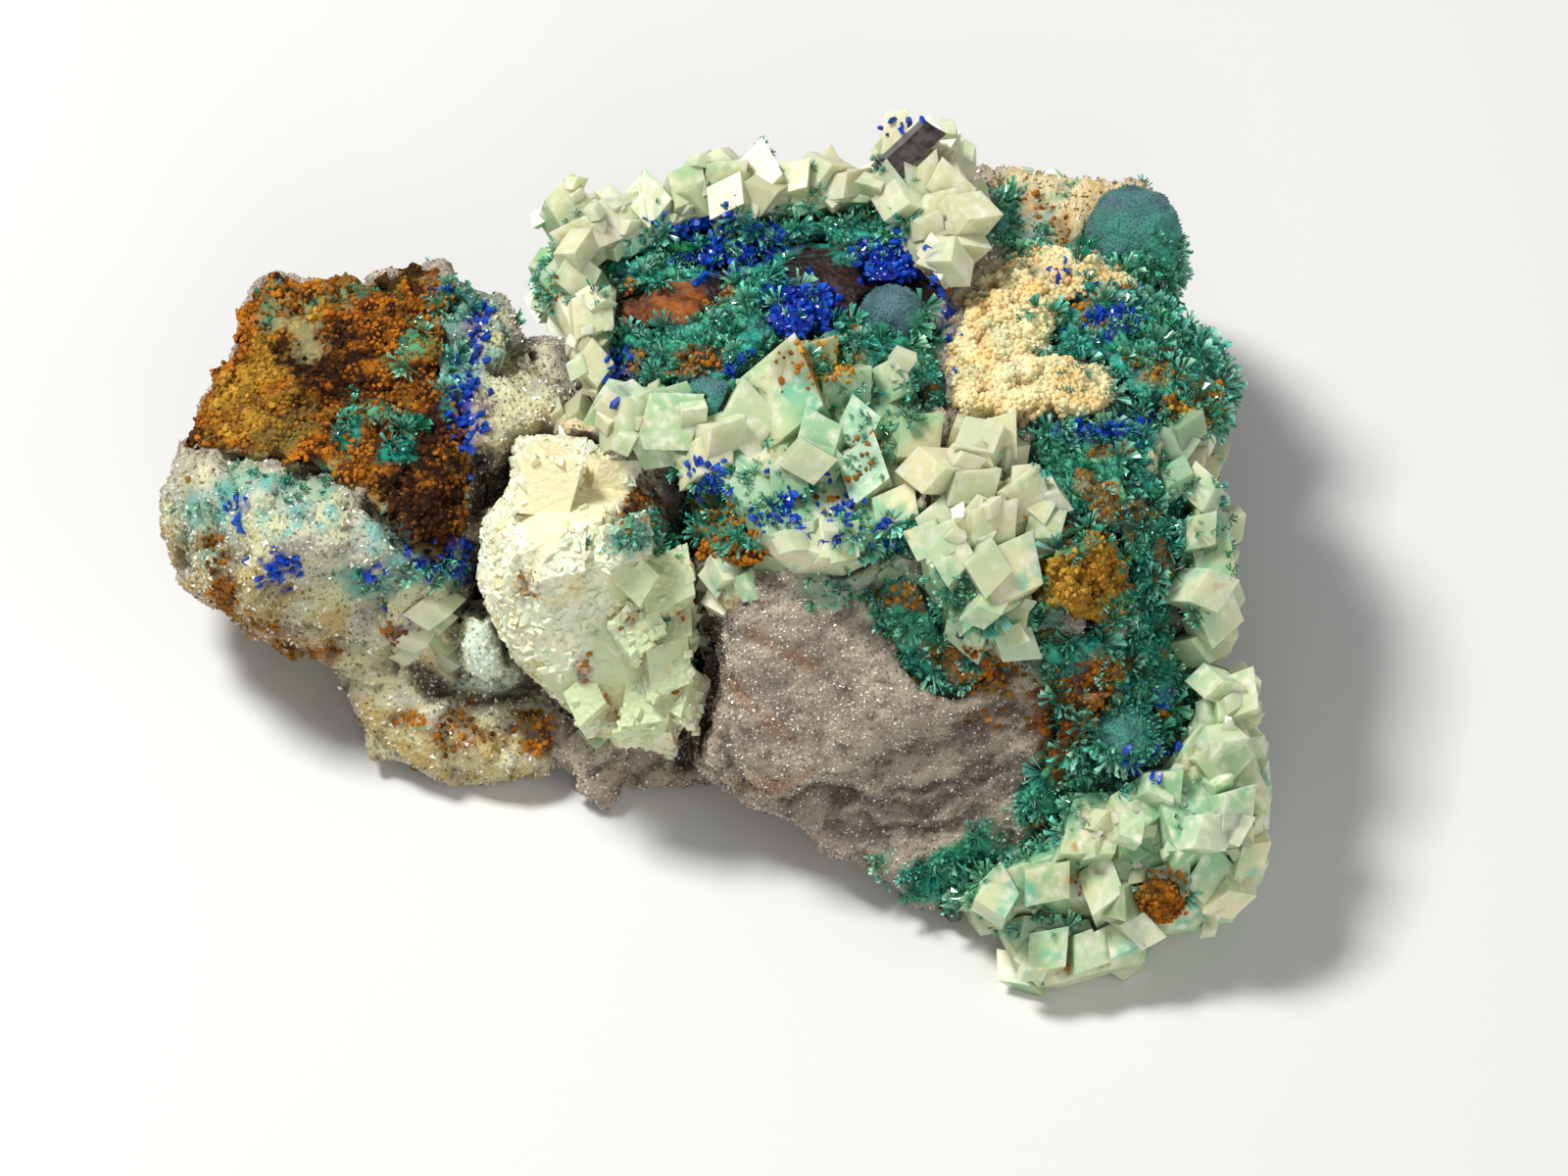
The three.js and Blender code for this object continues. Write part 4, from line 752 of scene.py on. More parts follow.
def prism(number):
    """A short crystal with a chisel top."""
    stream = random.Random(number)
    wide, deep = stream.uniform(0.22, 0.34), stream.uniform(0.14, 0.24)
    shoulder = stream.uniform(0.6, 0.8)
    points = [(sx * wide, sy * deep, z) for z in (-0.2, shoulder) for sx, sy in CORNERS]
    points += [(-wide * 0.5, 0, 1), (wide * 0.5, 0, 1)]
    faces = [(0, 1, 2, 3), *SIDES, (4, 5, 9, 8), (6, 7, 8, 9), (5, 6, 9), (7, 4, 8)]
    return template(f"prism_{number}", points, faces)


def rhomb(number):
    """A cleavage rhomb, which leans so that it grows corner first."""
    stream = random.Random(number)
    pose = Euler((stream.uniform(0.35, 0.6), stream.uniform(0.3, 0.55), 0)).to_matrix()
    sizes = [stream.uniform(0.75, 1.1) for _ in range(3)]
    points = [
        pose @ (ALONG * a * sizes[0] + OVER * b * sizes[1] + UP * c * sizes[2]) * 0.5
        for c in (-1, 1) for a, b in CORNERS
    ]
    return template(f"rhomb_{number}", points, [(0, 1, 2, 3), (4, 5, 6, 7), *SIDES])


def lump(number, detail, jitter):
    """A round knob."""
    stream = random.Random(number)
    shape = bmesh.new()
    bmesh.ops.create_icosphere(shape, subdivisions=detail, radius=0.5)
    for point in shape.verts:
        point.co *= 1 + stream.uniform(-jitter, jitter)
    mesh = bpy.data.meshes.new(f"lump_{number}")
    shape.to_mesh(mesh)
    shape.free()
    return tipped(bpy.data.objects.new(mesh.name, mesh))


def grain(number):
    """A pointed sugar grain with six faces."""
    stream = random.Random(number)
    half, top = stream.uniform(0.35, 0.5), stream.uniform(0.5, 0.8)
    ring = [(half * math.cos(a), half * stream.uniform(0.7, 1) * math.sin(a), 0) for a in (0, 2.1, 4.2)]
    points = ring + [(0.05, 0, top), (0, 0.05, -0.4)]
    faces = [f for i in range(3) for f in ((i, (i + 1) % 3, 3), ((i + 1) % 3, i, 4))]
    return template(f"grain_{number}", points, faces)


def shape_store(name, shapes):
    made = bpy.data.collections.new(name)
    for shape in shapes:
        made.objects.link(shape)
    return made


# Growth: small shapes strewn over the zones of a skin. Candidates for each square of the spacing, and the
# highest number from which a shape is picked
DENSITY = 1.6
LAST_PICK = 50


def growth_tree():
    tree, given, result = new_group(
        "growth", "GeometryNodeTree",
        [("Geometry", GEOMETRY, None), ("Shapes", "NodeSocketCollection", None),
         ("Zone", "NodeSocketString", ""), ("Spacing", FLOAT, 1.0), ("Least Cover", FLOAT, 0.3),
         ("Smallest", FLOAT, 0.5), ("Largest", FLOAT, 1.0),
         ("Tilt", FLOAT, 0.4), ("Turn", FLOAT, ANY_TURN), ("Sink", FLOAT, 0.1), ("Seed", "NodeSocketInt", 0),
         ("Finish", "NodeSocketMaterial", None)],
        [("Geometry", GEOMETRY)],
    )

    def chance(kind, low, high, offset):
        seed = maths(tree, "ADD", given["Seed"], float(offset))
        sockets = {"Min": low, "Max": high, "Seed": seed}
        return out(add(tree, "FunctionNodeRandomValue", sockets, data_type=kind))

    zone, free = (
        out(add(tree, "GeometryNodeInputNamedAttribute", {"Name": name}, data_type="FLOAT"))
        for name in (given["Zone"], "exposed")
    )
    cover = times(tree, zone, free)
    wanted = maths(tree, "GREATER_THAN", cover, given["Least Cover"])
    spacing = times(tree, given["Spacing"], MM)
    most = maths(tree, "DIVIDE", DENSITY, times(tree, spacing, spacing))
    strewn = add(tree, "GeometryNodeDistributePointsOnFaces",
                 {"Mesh": given["Geometry"], "Selection": wanted, "Distance Min": spacing,
                  "Density Max": most, "Density Factor": cover, "Seed": given["Seed"]},
                 distribute_method="POISSON")
    size = times(tree, chance("FLOAT", given["Smallest"], given["Largest"], 1), MM)
    depth = times(tree, times(tree, size, given["Sink"]), -1.0)
    down = out(add(tree, "ShaderNodeVectorMath", {0: strewn.outputs["Normal"], 3: depth}, operation="SCALE"))
    set_in = out(add(tree, "GeometryNodeSetPosition", {"Geometry": strewn.outputs["Points"], "Offset": down}))
    lean_x = times(tree, chance("FLOAT", -1.0, 1.0, 2), given["Tilt"])
    lean_y = times(tree, chance("FLOAT", -1.0, 1.0, 3), given["Tilt"])
    spin = times(tree, chance("FLOAT", -1.0, 1.0, 4), given["Turn"])
    turned = out(add(tree, "ShaderNodeCombineXYZ", {0: lean_x, 1: lean_y, 2: spin}))
    turn = out(add(tree, "FunctionNodeRotateRotation",
                   {"Rotation": strewn.outputs["Rotation"], "Rotate By": turned}, rotation_space="LOCAL"))
    shapes = out(add(tree, "GeometryNodeCollectionInfo",
                     {"Collection": given["Shapes"], "Separate Children": True, "Reset Children": True}))
    placed = out(add(tree, "GeometryNodeInstanceOnPoints",
                     {"Points": set_in, "Instance": shapes, "Pick Instance": True,
                      "Instance Index": chance("INT", 0, LAST_PICK, 5), "Rotation": turn, "Scale": size}))
    toned = out(add(tree, "GeometryNodeStoreNamedAttribute",
                    {"Geometry": placed, "Name": "tone", "Value": chance("FLOAT", 0.0, 1.0, 6)},
                    data_type="FLOAT", domain="INSTANCE"))
    real = out(add(tree, "GeometryNodeRealizeInstances", {"Geometry": toned}))
    done = out(add(tree, "GeometryNodeSetMaterial", {"Geometry": real, "Material": given["Finish"]}))
    tree.links.new(done, result["Geometry"])


def grow(name, host, shapes, finish, zone, spacing, sizes, tilt, turn, sink, least, seed):
    """Strews shapes over a zone of the host and gives them back as one plain mesh."""
    obj = bpy.data.objects.new(name, host.data.copy())
    bpy.context.scene.collection.objects.link(obj)
    modifier = obj.modifiers.new("growth", "NODES")
    modifier.node_group = bpy.data.node_groups["growth"]
    set_inputs(modifier, {
        "Shapes": shapes, "Zone": zone, "Spacing": float(spacing), "Least Cover": float(least),
        "Smallest": float(sizes[0]), "Largest": float(sizes[1]), "Tilt": float(tilt), "Turn": float(turn),
        "Sink": float(sink), "Seed": seed, "Finish": finish,
    })
    settled(obj)
    put_places(obj, places(obj))
    return obj


def joined(name, objects):
    """One mesh of copies of several skins, with their zones."""
    copies = []
    for obj in objects:
        twin = obj.copy()
        twin.data = obj.data.copy()
        bpy.context.scene.collection.objects.link(twin)
        copies.append(twin)
    if len(copies) > 1:
        with bpy.context.temp_override(active_object=copies[0], selected_editable_objects=copies):
            bpy.ops.object.join()
    copies[0].name = name
    return copies[0]


# Shader groups that the finishes share: soft patches, and a fine grain
def mottle_group():
    tree, given, result = new_group(
        "mottle", "ShaderNodeTree",
        [("Size", FLOAT, 2.0), ("Middle", FLOAT, 0.5), ("Softness", FLOAT, 0.1), ("Shift", FLOAT, 0.0)],
        [("Mask", FLOAT)],
    )
    scale = maths(tree, "DIVIDE", 1 / MM, given["Size"])
    sockets = {"Vector": at(tree), "W": given["Shift"], "Scale": scale, "Detail": 4.0}
    waves = noise(tree, sockets, noise_dimensions="4D")
    low = maths(tree, "SUBTRACT", given["Middle"], given["Softness"])
    high = maths(tree, "ADD", given["Middle"], given["Softness"])
    tree.links.new(ramp(tree, waves, low, high), result["Mask"])


def grit_group():
    tree, given, result = new_group(
        "grit", "ShaderNodeTree", [("Size", FLOAT, 0.4), ("Depth", FLOAT, 0.1), ("Strength", FLOAT, 0.5)],
        [("Normal", "NodeSocketVector")],
    )
    place = at(tree)
    scale = maths(tree, "DIVIDE", 1 / MM, given["Size"])
    cells = add(tree, "ShaderNodeTexVoronoi", {"Vector": place, "Scale": scale}, feature="F1")
    waves = noise(tree, {"Vector": place, "Scale": scale, "Detail": 3.0})
    height = maths(tree, "SUBTRACT", waves, cells.outputs["Distance"])
    depth = times(tree, given["Depth"], MM)
    sockets = {"Strength": given["Strength"], "Distance": depth, "Height": height}
    bump = out(add(tree, "ShaderNodeBump", sockets))
    tree.links.new(bump, result["Normal"])


def new_finish(name, **values):
    """A material with one Principled shader, its plain values set on the shader's own sockets."""
    made = bpy.data.materials.new(f"{name}_finish")
    made.use_nodes = True
    tree = made.node_tree
    shader = tree.nodes["Principled BSDF"]
    for key, value in values.items():
        shader.inputs[key.replace("_", " ")].default_value = value
    return made, tree, shader


def mottle(tree, *patches):
    """A mask of soft patches: size in millimetres, starting level, softness and place in the noise."""
    group = add(tree, "ShaderNodeGroup", node_tree=bpy.data.node_groups["mottle"])
    for key, value in zip(("Size", "Middle", "Softness", "Shift"), patches):
        group.inputs[key].default_value = value
    return group.outputs["Mask"]


def painted(made, tree, shader, colour, *grit):
    """The material with its colour, and with a grain as a bump: size and depth in millimetres, strength."""
    tree.links.new(colour, shader.inputs["Base Color"])
    if grit:
        group = add(tree, "ShaderNodeGroup", node_tree=bpy.data.node_groups["grit"])
        for key, value in zip(("Size", "Depth", "Strength"), grit):
            group.inputs[key].default_value = value
        tree.links.new(group.outputs["Normal"], shader.inputs["Normal"])
    return made


def blend(tree, mask, first, second):
    """Two colours, links or values as seen on a screen, mixed by a mask."""
    first, second = (srgb(*c) if isinstance(c, tuple) else c for c in (first, second))
    return add(tree, "ShaderNodeMix", {0: mask, 6: first, 7: second}, data_type="RGBA").outputs[2]


def patchy(tree, patches, first, second):
    """Two colours, the second in patches."""
    return blend(tree, mottle(tree, *patches), first, second)


def layer(tree, name):
    return add(tree, "ShaderNodeAttribute", attribute_name=name).outputs["Fac"]


def faded(tree, name, strength):
    """A zone's mask, weakened by a number or by another mask."""
    return times(tree, layer(tree, name), strength)


def laid(tree, colour, name, over, strength=None):
    """Lays another colour over one where a zone says, weakened by a strength where one is given."""
    mask = layer(tree, name) if strength is None else faded(tree, name, strength)
    return blend(tree, mask, colour, over)


AZURITE_BLUE = (24, 38, 140)
AQUA_PATCHES = (1.8, 0.5, 0.08, 13.0)


def tyrolite_ground_colour(tree):
    return tyrolite_colour(tree, mottle(tree, 1.0, 0.5, 0.2, 11.0))


def tyrolite_colour(tree, tone):
    deep = patchy(tree, (1.6, 0.5, 0.12, 3.0), (2, 60, 56), (6, 112, 94))
    bright = patchy(tree, (4.0, 0.52, 0.1, 5.0), (30, 172, 148), (84, 196, 136))
    return blend(tree, tone, deep, bright)


def ochre_mask(tree):
    return faded(tree, "ochre", mottle(tree, 3.0, 0.42, 0.1, 16.0))


def warm_mask(tree):
    return faded(tree, "warm", mottle(tree, 2.4, 0.46, 0.1, 18.0))


def dark_mask(tree):
    return faded(tree, "dark", mottle(tree, 1.5, 0.4, 0.07, 15.0))


def olive_patches(tree, colour):
    return patchy(tree, (4.6, 0.58, 0.06, 21.0), colour, (124, 102, 48))


def limonite_colour(tree):
    rust = patchy(tree, (1.6, 0.5, 0.08, 1.0), (100, 54, 12), (180, 106, 24))
    brown = olive_patches(tree, patchy(tree, (2.4, 0.5, 0.06, 9.0), rust, (54, 30, 16)))
    ochre = patchy(tree, (1.4, 0.5, 0.08, 2.0), (196, 148, 48), (132, 100, 34))
    colour = blend(tree, ochre_mask(tree), brown, ochre)
    return blend(tree, dark_mask(tree), colour, (40, 22, 14))


def shaded(tree, colour, shade, strength=0.75):
    """Paints shade into a colour in creases and hollows."""
    low = maths(tree, "MAXIMUM", layer(tree, "hollow"), layer(tree, "crease"))
    return blend(tree, ramp(tree, low, 0.15, 1.0, strength), colour, shade)


def bed_shade(tree, colour, shade):
    """Paints shade into a colour in thin uneven bands that run across the face."""
    turned = out(add(tree, "ShaderNodeVectorRotate", {"Vector": at(tree), "Angle": BAND_TURN},
                     rotation_type="Z_AXIS"))
    drawn = stretched(tree, turned, BAND_STRETCH)
    bands = noise(tree, {"Vector": drawn, "Scale": 0.7 / MM, "Detail": 3.0, "Distortion": 0.4})
    return blend(tree, ramp(tree, bands, 0.52, 0.66, 0.6), colour, shade)


def aqua_colour(tree, under):
    """A blue-green stain with clear gaps."""
    return patchy(tree, AQUA_PATCHES, under, (78, 164, 158))


def rock_finish():
    made, tree, shader = new_finish("druse_rock", Roughness=0.62)
    druse = patchy(tree, (3.0, 0.5, 0.15, 0.0), (142, 128, 114), (182, 168, 146))
    druse = bed_shade(tree, druse, (74, 62, 52))
    pale = patchy(tree, (2.4, 0.5, 0.12, 6.0), (164, 164, 150), (206, 202, 162))
    pale = patchy(tree, (3.6, 0.56, 0.1, 17.0), pale, (202, 200, 150))
    pale = blend(tree, warm_mask(tree), pale, (182, 160, 98))
    tan = patchy(tree, (1.8, 0.5, 0.12, 7.0), (206, 176, 116), (226, 208, 160))
    green = patchy(tree, (1.6, 0.5, 0.12, 8.0), (176, 190, 146), (214, 212, 176))
    colour = laid(tree, druse, "pale", pale)
    colour = laid(tree, colour, "tan", tan)
    colour = laid(tree, colour, "cream", tan)
    colour = laid(tree, colour, "mint", (206, 224, 202))
    colour = laid(tree, colour, "rhomb", green)
    colour = laid(tree, colour, "aqua", aqua_colour(tree, colour))
    colour = laid(tree, colour, "streak", (158, 104, 54), 0.5)
    colour = laid(tree, colour, "limonite", limonite_colour(tree))
    colour = laid(tree, colour, "tyrolite", tyrolite_ground_colour(tree))
    colour = laid(tree, colour, "azurite", (20, 34, 130))
    return painted(made, tree, shader, shaded(tree, colour, (68, 57, 50)), 0.45, 0.16, 0.8)


def lobe_finish():
    made, tree, shader = new_finish(
        "cream_lobe", Roughness=0.35, Subsurface_Weight=0.3, Subsurface_Scale=1.2 * MM)
    body = patchy(tree, (3.4, 0.5, 0.12, 1.0), (242, 239, 212), (230, 228, 194))
    body = patchy(tree, (2.2, 0.6, 0.08, 2.0), body, (234, 216, 166))
    body = laid(tree, body, "rhomb", (186, 206, 152), 0.7)
    body = laid(tree, body, "clear", (238, 226, 176), 0.8)
    body = laid(tree, body, "limonite", limonite_colour(tree))
    body = laid(tree, body, "tyrolite", tyrolite_ground_colour(tree))
    return painted(made, tree, shader, shaded(tree, body, (186, 168, 118), 0.6), 0.5, 0.12, 0.7)


def rhomb_finish(name, pale, warm, green):
    made, tree, shader = new_finish(
        name, Roughness=0.36, IOR=1.6, Subsurface_Weight=0.5, Subsurface_Scale=2.0 * MM,
        Transmission_Weight=0.08, Coat_Weight=0.05, Coat_Roughness=0.3)
    shader.inputs["Subsurface Radius"].default_value = (1.0, 1.0, 0.7)
    body = patchy(tree, (9.0, 0.5, 0.08, 1.0), pale, warm)
    body = patchy(tree, (6.0, 0.52, 0.1, 2.0), body, green)
    body = patchy(tree, (4.0, 0.62, 0.05, 4.0), body, (128, 196, 160))
    body = laid(tree, body, "milky", (222, 212, 168), 0.7)
    body = patchy(tree, (2.4, 0.68, 0.04, 5.0), body, (190, 144, 88))
    body = laid(tree, body, "tone", (236, 234, 204), 0.4)
    body = patchy(tree, (0.9, 0.58, 0.1, 3.0), body, (232, 232, 206))
    body = laid(tree, body, "limonite", limonite_colour(tree), 0.8)
    body = laid(tree, body, "tyrolite", (84, 164, 124), 0.8)
    return painted(made, tree, shader, shaded(tree, body, (122, 146, 92), 0.75), 1.3, 0.05, 0.5)


def grown_finish(name, dull, bright, spread, **values):
    """A finish for small grown shapes, which vary from one to the next by their own tone, with painted light
    at their tips.
    """
    made, tree, shader = new_finish(name, **values)
    own = maths(tree, "ADD", layer(tree, "tone"), mottle(tree, spread, 0.5, 0.2, 2.0))
    # Painted light: the colour turns bright towards the tips
    tip_light = maths(tree, "POWER", layer(tree, "tip"), 1.5)
    mask = times(tree, times(tree, own, 0.5), tip_light)
    return painted(made, tree, shader, blend(tree, mask, dull, bright), 0.5, 0.04, 0.4)


def blade_finish():
    made, tree, shader = new_finish("tyrolite_blades", Roughness=0.16, Coat_Weight=0.5)
    body = patchy(tree, (3.4, 0.5, 0.1, 3.0), (2, 112, 96), (36, 142, 86))
    # Painted highlight: the blades turn pale towards their tips
    tips = patchy(tree, (2.6, 0.5, 0.1, 5.0), (130, 250, 230), (192, 248, 204))
    tip_light = maths(tree, "POWER", layer(tree, "tip"), 2.0)
    colour = blend(tree, times(tree, tip_light, layer(tree, "tone")), body, tips)
    # Painted shade: the blades go near black at their roots
    root_shade = maths(tree, "POWER", layer(tree, "tip"), 0.8)
    return painted(made, tree, shader, blend(tree, root_shade, (0, 32, 32), colour))


def crumb_finish():
    made, tree, shader = new_finish("limonite_crumbs", Roughness=0.85, Specular_IOR_Level=0.1)
    rust = patchy(tree, (2.0, 0.5, 0.08, 1.0), (64, 34, 12), (178, 104, 24))
    rust = olive_patches(tree, laid(tree, rust, "tone", (184, 124, 36), 0.5))
    ochre = laid(tree, (124, 90, 28), "tone", (208, 160, 62))
    dark = laid(tree, (30, 16, 10), "tone", (84, 46, 22))
    colour = blend(tree, ochre_mask(tree), rust, ochre)
    return painted(made, tree, shader, blend(tree, dark_mask(tree), colour, dark), 0.4, 0.06, 0.6)


def sugar_finish(name, dull, bright, shade):
    """Sugar-fine crystals, of which a few are painted near white as glints."""
    made, tree, shader = new_finish(name, Roughness=0.14)
    colour = patchy(tree, (2.6, 0.5, 0.14, 2.0), dull, bright)
    colour = blend(tree, warm_mask(tree), colour, (184, 160, 98))
    colour = bed_shade(tree, colour, shade)
    colour = laid(tree, colour, "streak", (178, 132, 78), 0.4)
    colour = laid(tree, colour, "aqua", (116, 190, 180), mottle(tree, *AQUA_PATCHES))
    colour = shaded(tree, colour, shade)
    colour = blend(tree, ramp(tree, layer(tree, "tone"), 0.45, 0.0, 0.85), colour, shade)
    # Painted glints: grains of high tone turn near white
    painted_glint = ramp(tree, layer(tree, "tone"), 0.5, 0.9)
    return painted(made, tree, shader, blend(tree, painted_glint, colour, (242, 238, 230)))


def smoky_finish():
    made, tree, shader = new_finish("smoky_crystal", Roughness=0.24, Specular_IOR_Level=0.3)
    colour = patchy(tree, (1.6, 0.5, 0.1, 1.0), (16, 9, 6), (52, 34, 24))
    return painted(made, tree, shader, colour, 0.8, 0.05, 0.5)


def ironstone_finish():
    made, tree, shader = new_finish("ironstone", Roughness=0.6, Specular_IOR_Level=0.3)
    drawn = stretched(tree, at(tree), IRON_STRETCH)
    beds = noise(tree, {"Vector": drawn, "Scale": 0.9 / MM, "Detail": 3.0})
    colour = blend(tree, ramp(tree, beds, 0.42, 0.62), (10, 5, 4), (44, 21, 11))
    rusty = patchy(tree, (1.6, 0.5, 0.1, 4.0), (84, 40, 12), (152, 84, 26))
    colour = laid(tree, colour, "streak", rusty)
    colour = shaded(tree, colour, (14, 8, 6))
    colour = laid(tree, colour, "tyrolite", (30, 128, 108))
    colour = laid(tree, colour, "azurite", AZURITE_BLUE)
    return painted(made, tree, shader, colour, 0.5, 0.2, 0.7)


def rust_finish():
    made, tree, shader = new_finish("limonite", Roughness=0.85, Specular_IOR_Level=0.1)
    colour = shaded(tree, limonite_colour(tree), (34, 18, 10), 0.8)
    colour = laid(tree, colour, "pale", (172, 164, 112), 0.6)
    colour = laid(tree, colour, "aqua", aqua_colour(tree, colour))
    colour = laid(tree, colour, "tyrolite", tyrolite_ground_colour(tree))
    colour = laid(tree, colour, "azurite", AZURITE_BLUE)
    return painted(made, tree, shader, colour, 0.5, 0.3, 0.9)


def ball_finish():
    made, tree, shader = new_finish("grey_ball", Roughness=0.75, Sheen_Weight=0.6, Sheen_Roughness=0.4)
    shader.inputs["Sheen Tint"].default_value = srgb(150, 190, 190)
    colour = patchy(tree, (2.2, 0.5, 0.12, 1.0), (44, 74, 84), (78, 112, 120))
    colour = patchy(tree, (3.6, 0.52, 0.1, 2.0), colour, (54, 130, 110))
    colour = laid(tree, colour, "tyrolite", tyrolite_ground_colour(tree))
    return painted(made, tree, shader, colour, 0.3, 0.12, 0.9)


def crust_finish():
    made, tree, shader = new_finish(
        "cream_crust", Roughness=0.6, Subsurface_Weight=0.15, Subsurface_Scale=0.8 * MM)
    colour = patchy(tree, (4.4, 0.5, 0.1, 1.0), (238, 226, 178), (228, 192, 122))
    colour = patchy(tree, (2.6, 0.56, 0.08, 2.0), colour, (214, 212, 166))
    return painted(made, tree, shader, shaded(tree, colour, (150, 98, 48), 0.8), 0.4, 0.14, 0.7)


def tyrolite_skin_finish():
    made, tree, shader = new_finish("tyrolite_ground", Roughness=0.45)
    colour = tyrolite_colour(tree, mottle(tree, 0.9, 0.55, 0.15, 11.0))
    colour = laid(tree, colour, "limonite", limonite_colour(tree))
    colour = laid(tree, colour, "cream", (224, 206, 156))
    colour = shaded(tree, colour, (10, 40, 36), 0.6)
    colour = laid(tree, colour, "azurite", AZURITE_BLUE)
    return painted(made, tree, shader, colour, 0.5, 0.3, 0.9)


roughness_tree()
growth_tree()
mottle_group()
grit_group()

FINISHES = {
    "matrix": rock_finish(),
    "lobe": lobe_finish(),
    "pale_rhombs": rhomb_finish("pale_rhombs", (196, 212, 166), (228, 218, 170), (142, 196, 142)),
    "cream_rhombs": rhomb_finish(
        "cream_rhombs", (228, 222, 180), (240, 230, 196), (186, 206, 154)),
    "smoky": smoky_finish(),
    "cream": crust_finish(),
    "tyrolite": tyrolite_skin_finish(),
    "azurite": grown_finish("azurite", (8, 32, 128), (26, 98, 226), 2.0, Roughness=0.22),
    "limonite": rust_finish(),
    "ironstone": ironstone_finish(),
    "grey": ball_finish(),
    "blades": blade_finish(),
    "sugar": sugar_finish("sugar_grains", (150, 135, 115), (204, 189, 162), (66, 54, 46)),
    "light_sugar": sugar_finish("light_grains", (168, 168, 134), (212, 206, 160), (92, 78, 56)),
    "crumbs": crumb_finish(),
    "fur": grown_finish("ball_fur", (36, 62, 72), (112, 156, 164), 2.2, Roughness=0.6),
}

# Skins over the frame's nodes. What each family of nodes wears: finish and slot
LOOK_OF_NODE = {
    "matrix": ("matrix", "druse_rock"),
    "rhombs": ("pale_rhombs", "pale_rhombs"),
    "rhombs_spire": ("cream_rhombs", "cream_rhombs"),
    "smoky": ("smoky", "smoky_crystal"),
    "cream_lobe": ("lobe", "cream_rhombs"),
    "cream_crust": ("cream", "cream_crust"),
    "tyrolite": ("tyrolite", "tyrolite"),
    "azurite": ("azurite", "azurite"),
    "limonite": ("limonite", "limonite"),
    "ironstone": ("ironstone", "ironstone"),
    "grey": ("grey", "grey_balls"),
}

skins = {}
for seed, (node, how) in enumerate(SKINS.items()):
    skins[node] = skin(node, seed, *how)
    if node in CHIPS:
        chip(skins[node], *CHIPS[node])
    if node in ("matrix_rock", "limonite_left_face"):
        cut_creases(skins[node])
    skins[node].data.shade_smooth()
for node in CRISP:
    skins[node] = facets(node)

for node, obj in skins.items():
    mark_zones(obj, node)
    finish, slot = LOOK_OF_NODE[node if node in LOOK_OF_NODE else node.split("_")[0]]
    obj.data.materials.clear()
    obj.data.materials.append(FINISHES[finish])
    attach(obj, "root")
    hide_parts(node)

mark_shelter(skins.values())
for obj in skins.values():
    settle_zones(obj)

balls = [skins[node] for node in skins if node.startswith("grey_ball")]
ground = joined("ground", list(skins.values()))
crystal_nodes = [node for node in skins if node.startswith(("rhombs_", "tyrolite_", "matrix_rock"))]
crystal_ground = joined("crystal_ground", [skins[node] for node in crystal_nodes])
lobe_ground = joined("lobe_ground", [skins["cream_lobe"]])
rock_ground = joined("rock_ground", [skins["matrix_rock"]])
covered = sum(fetch(rock_ground, zone) for zone in ("rhomb", "tyrolite", "azurite", "limonite"))
light = np.clip(sum(fetch(rock_ground, zone) for zone in ("pale", "mint", "cream", "tan")), 0, 1)
store(rock_ground, "bare", np.clip(1 - covered - light, 0, 1) * np.clip(fetch(rock_ground, "front"), 0.1, 1))
store(rock_ground, "light", np.clip(light - covered, 0, 1))
crust_ground = joined("crust_ground", [skins["cream_crust"]])
ball_ground = joined("ball_ground", balls)
for plain in (crust_ground, ball_ground):
    store(plain, "all", np.ones(len(plain.data.vertices)))
store(lobe_ground, "fine", (1 - fetch(lobe_ground, "clear")) * (1 - 0.85 * fetch(lobe_ground, "rhomb")))
nooks = np.clip(0.15 + 1.5 * fetch(crystal_ground, "hollow"), 0, 1)
store(crystal_ground, "nook", fetch(crystal_ground, "rhomb") * nooks)

ROSETTES = shape_store("rosettes", [rosette(i, 15, 0.2, 82) for i in range(6)])
SPRIGS = shape_store("sprigs", [rosette(10 + i, 10, 0.24, 70) for i in range(6)])
PRISMS = shape_store("prisms", [prism(i) for i in range(5)])
RHOMBS = shape_store("small_rhombs", [rhomb(i) for i in range(5)])
KNOBS = shape_store("knobs", [lump(i, 1, 0.12) for i in range(4)])
CRUMBS = shape_store("crumbs", [lump(20 + i, 1, 0.42) for i in range(6)])
GRAINS = shape_store("grains", [grain(i) for i in range(5)])

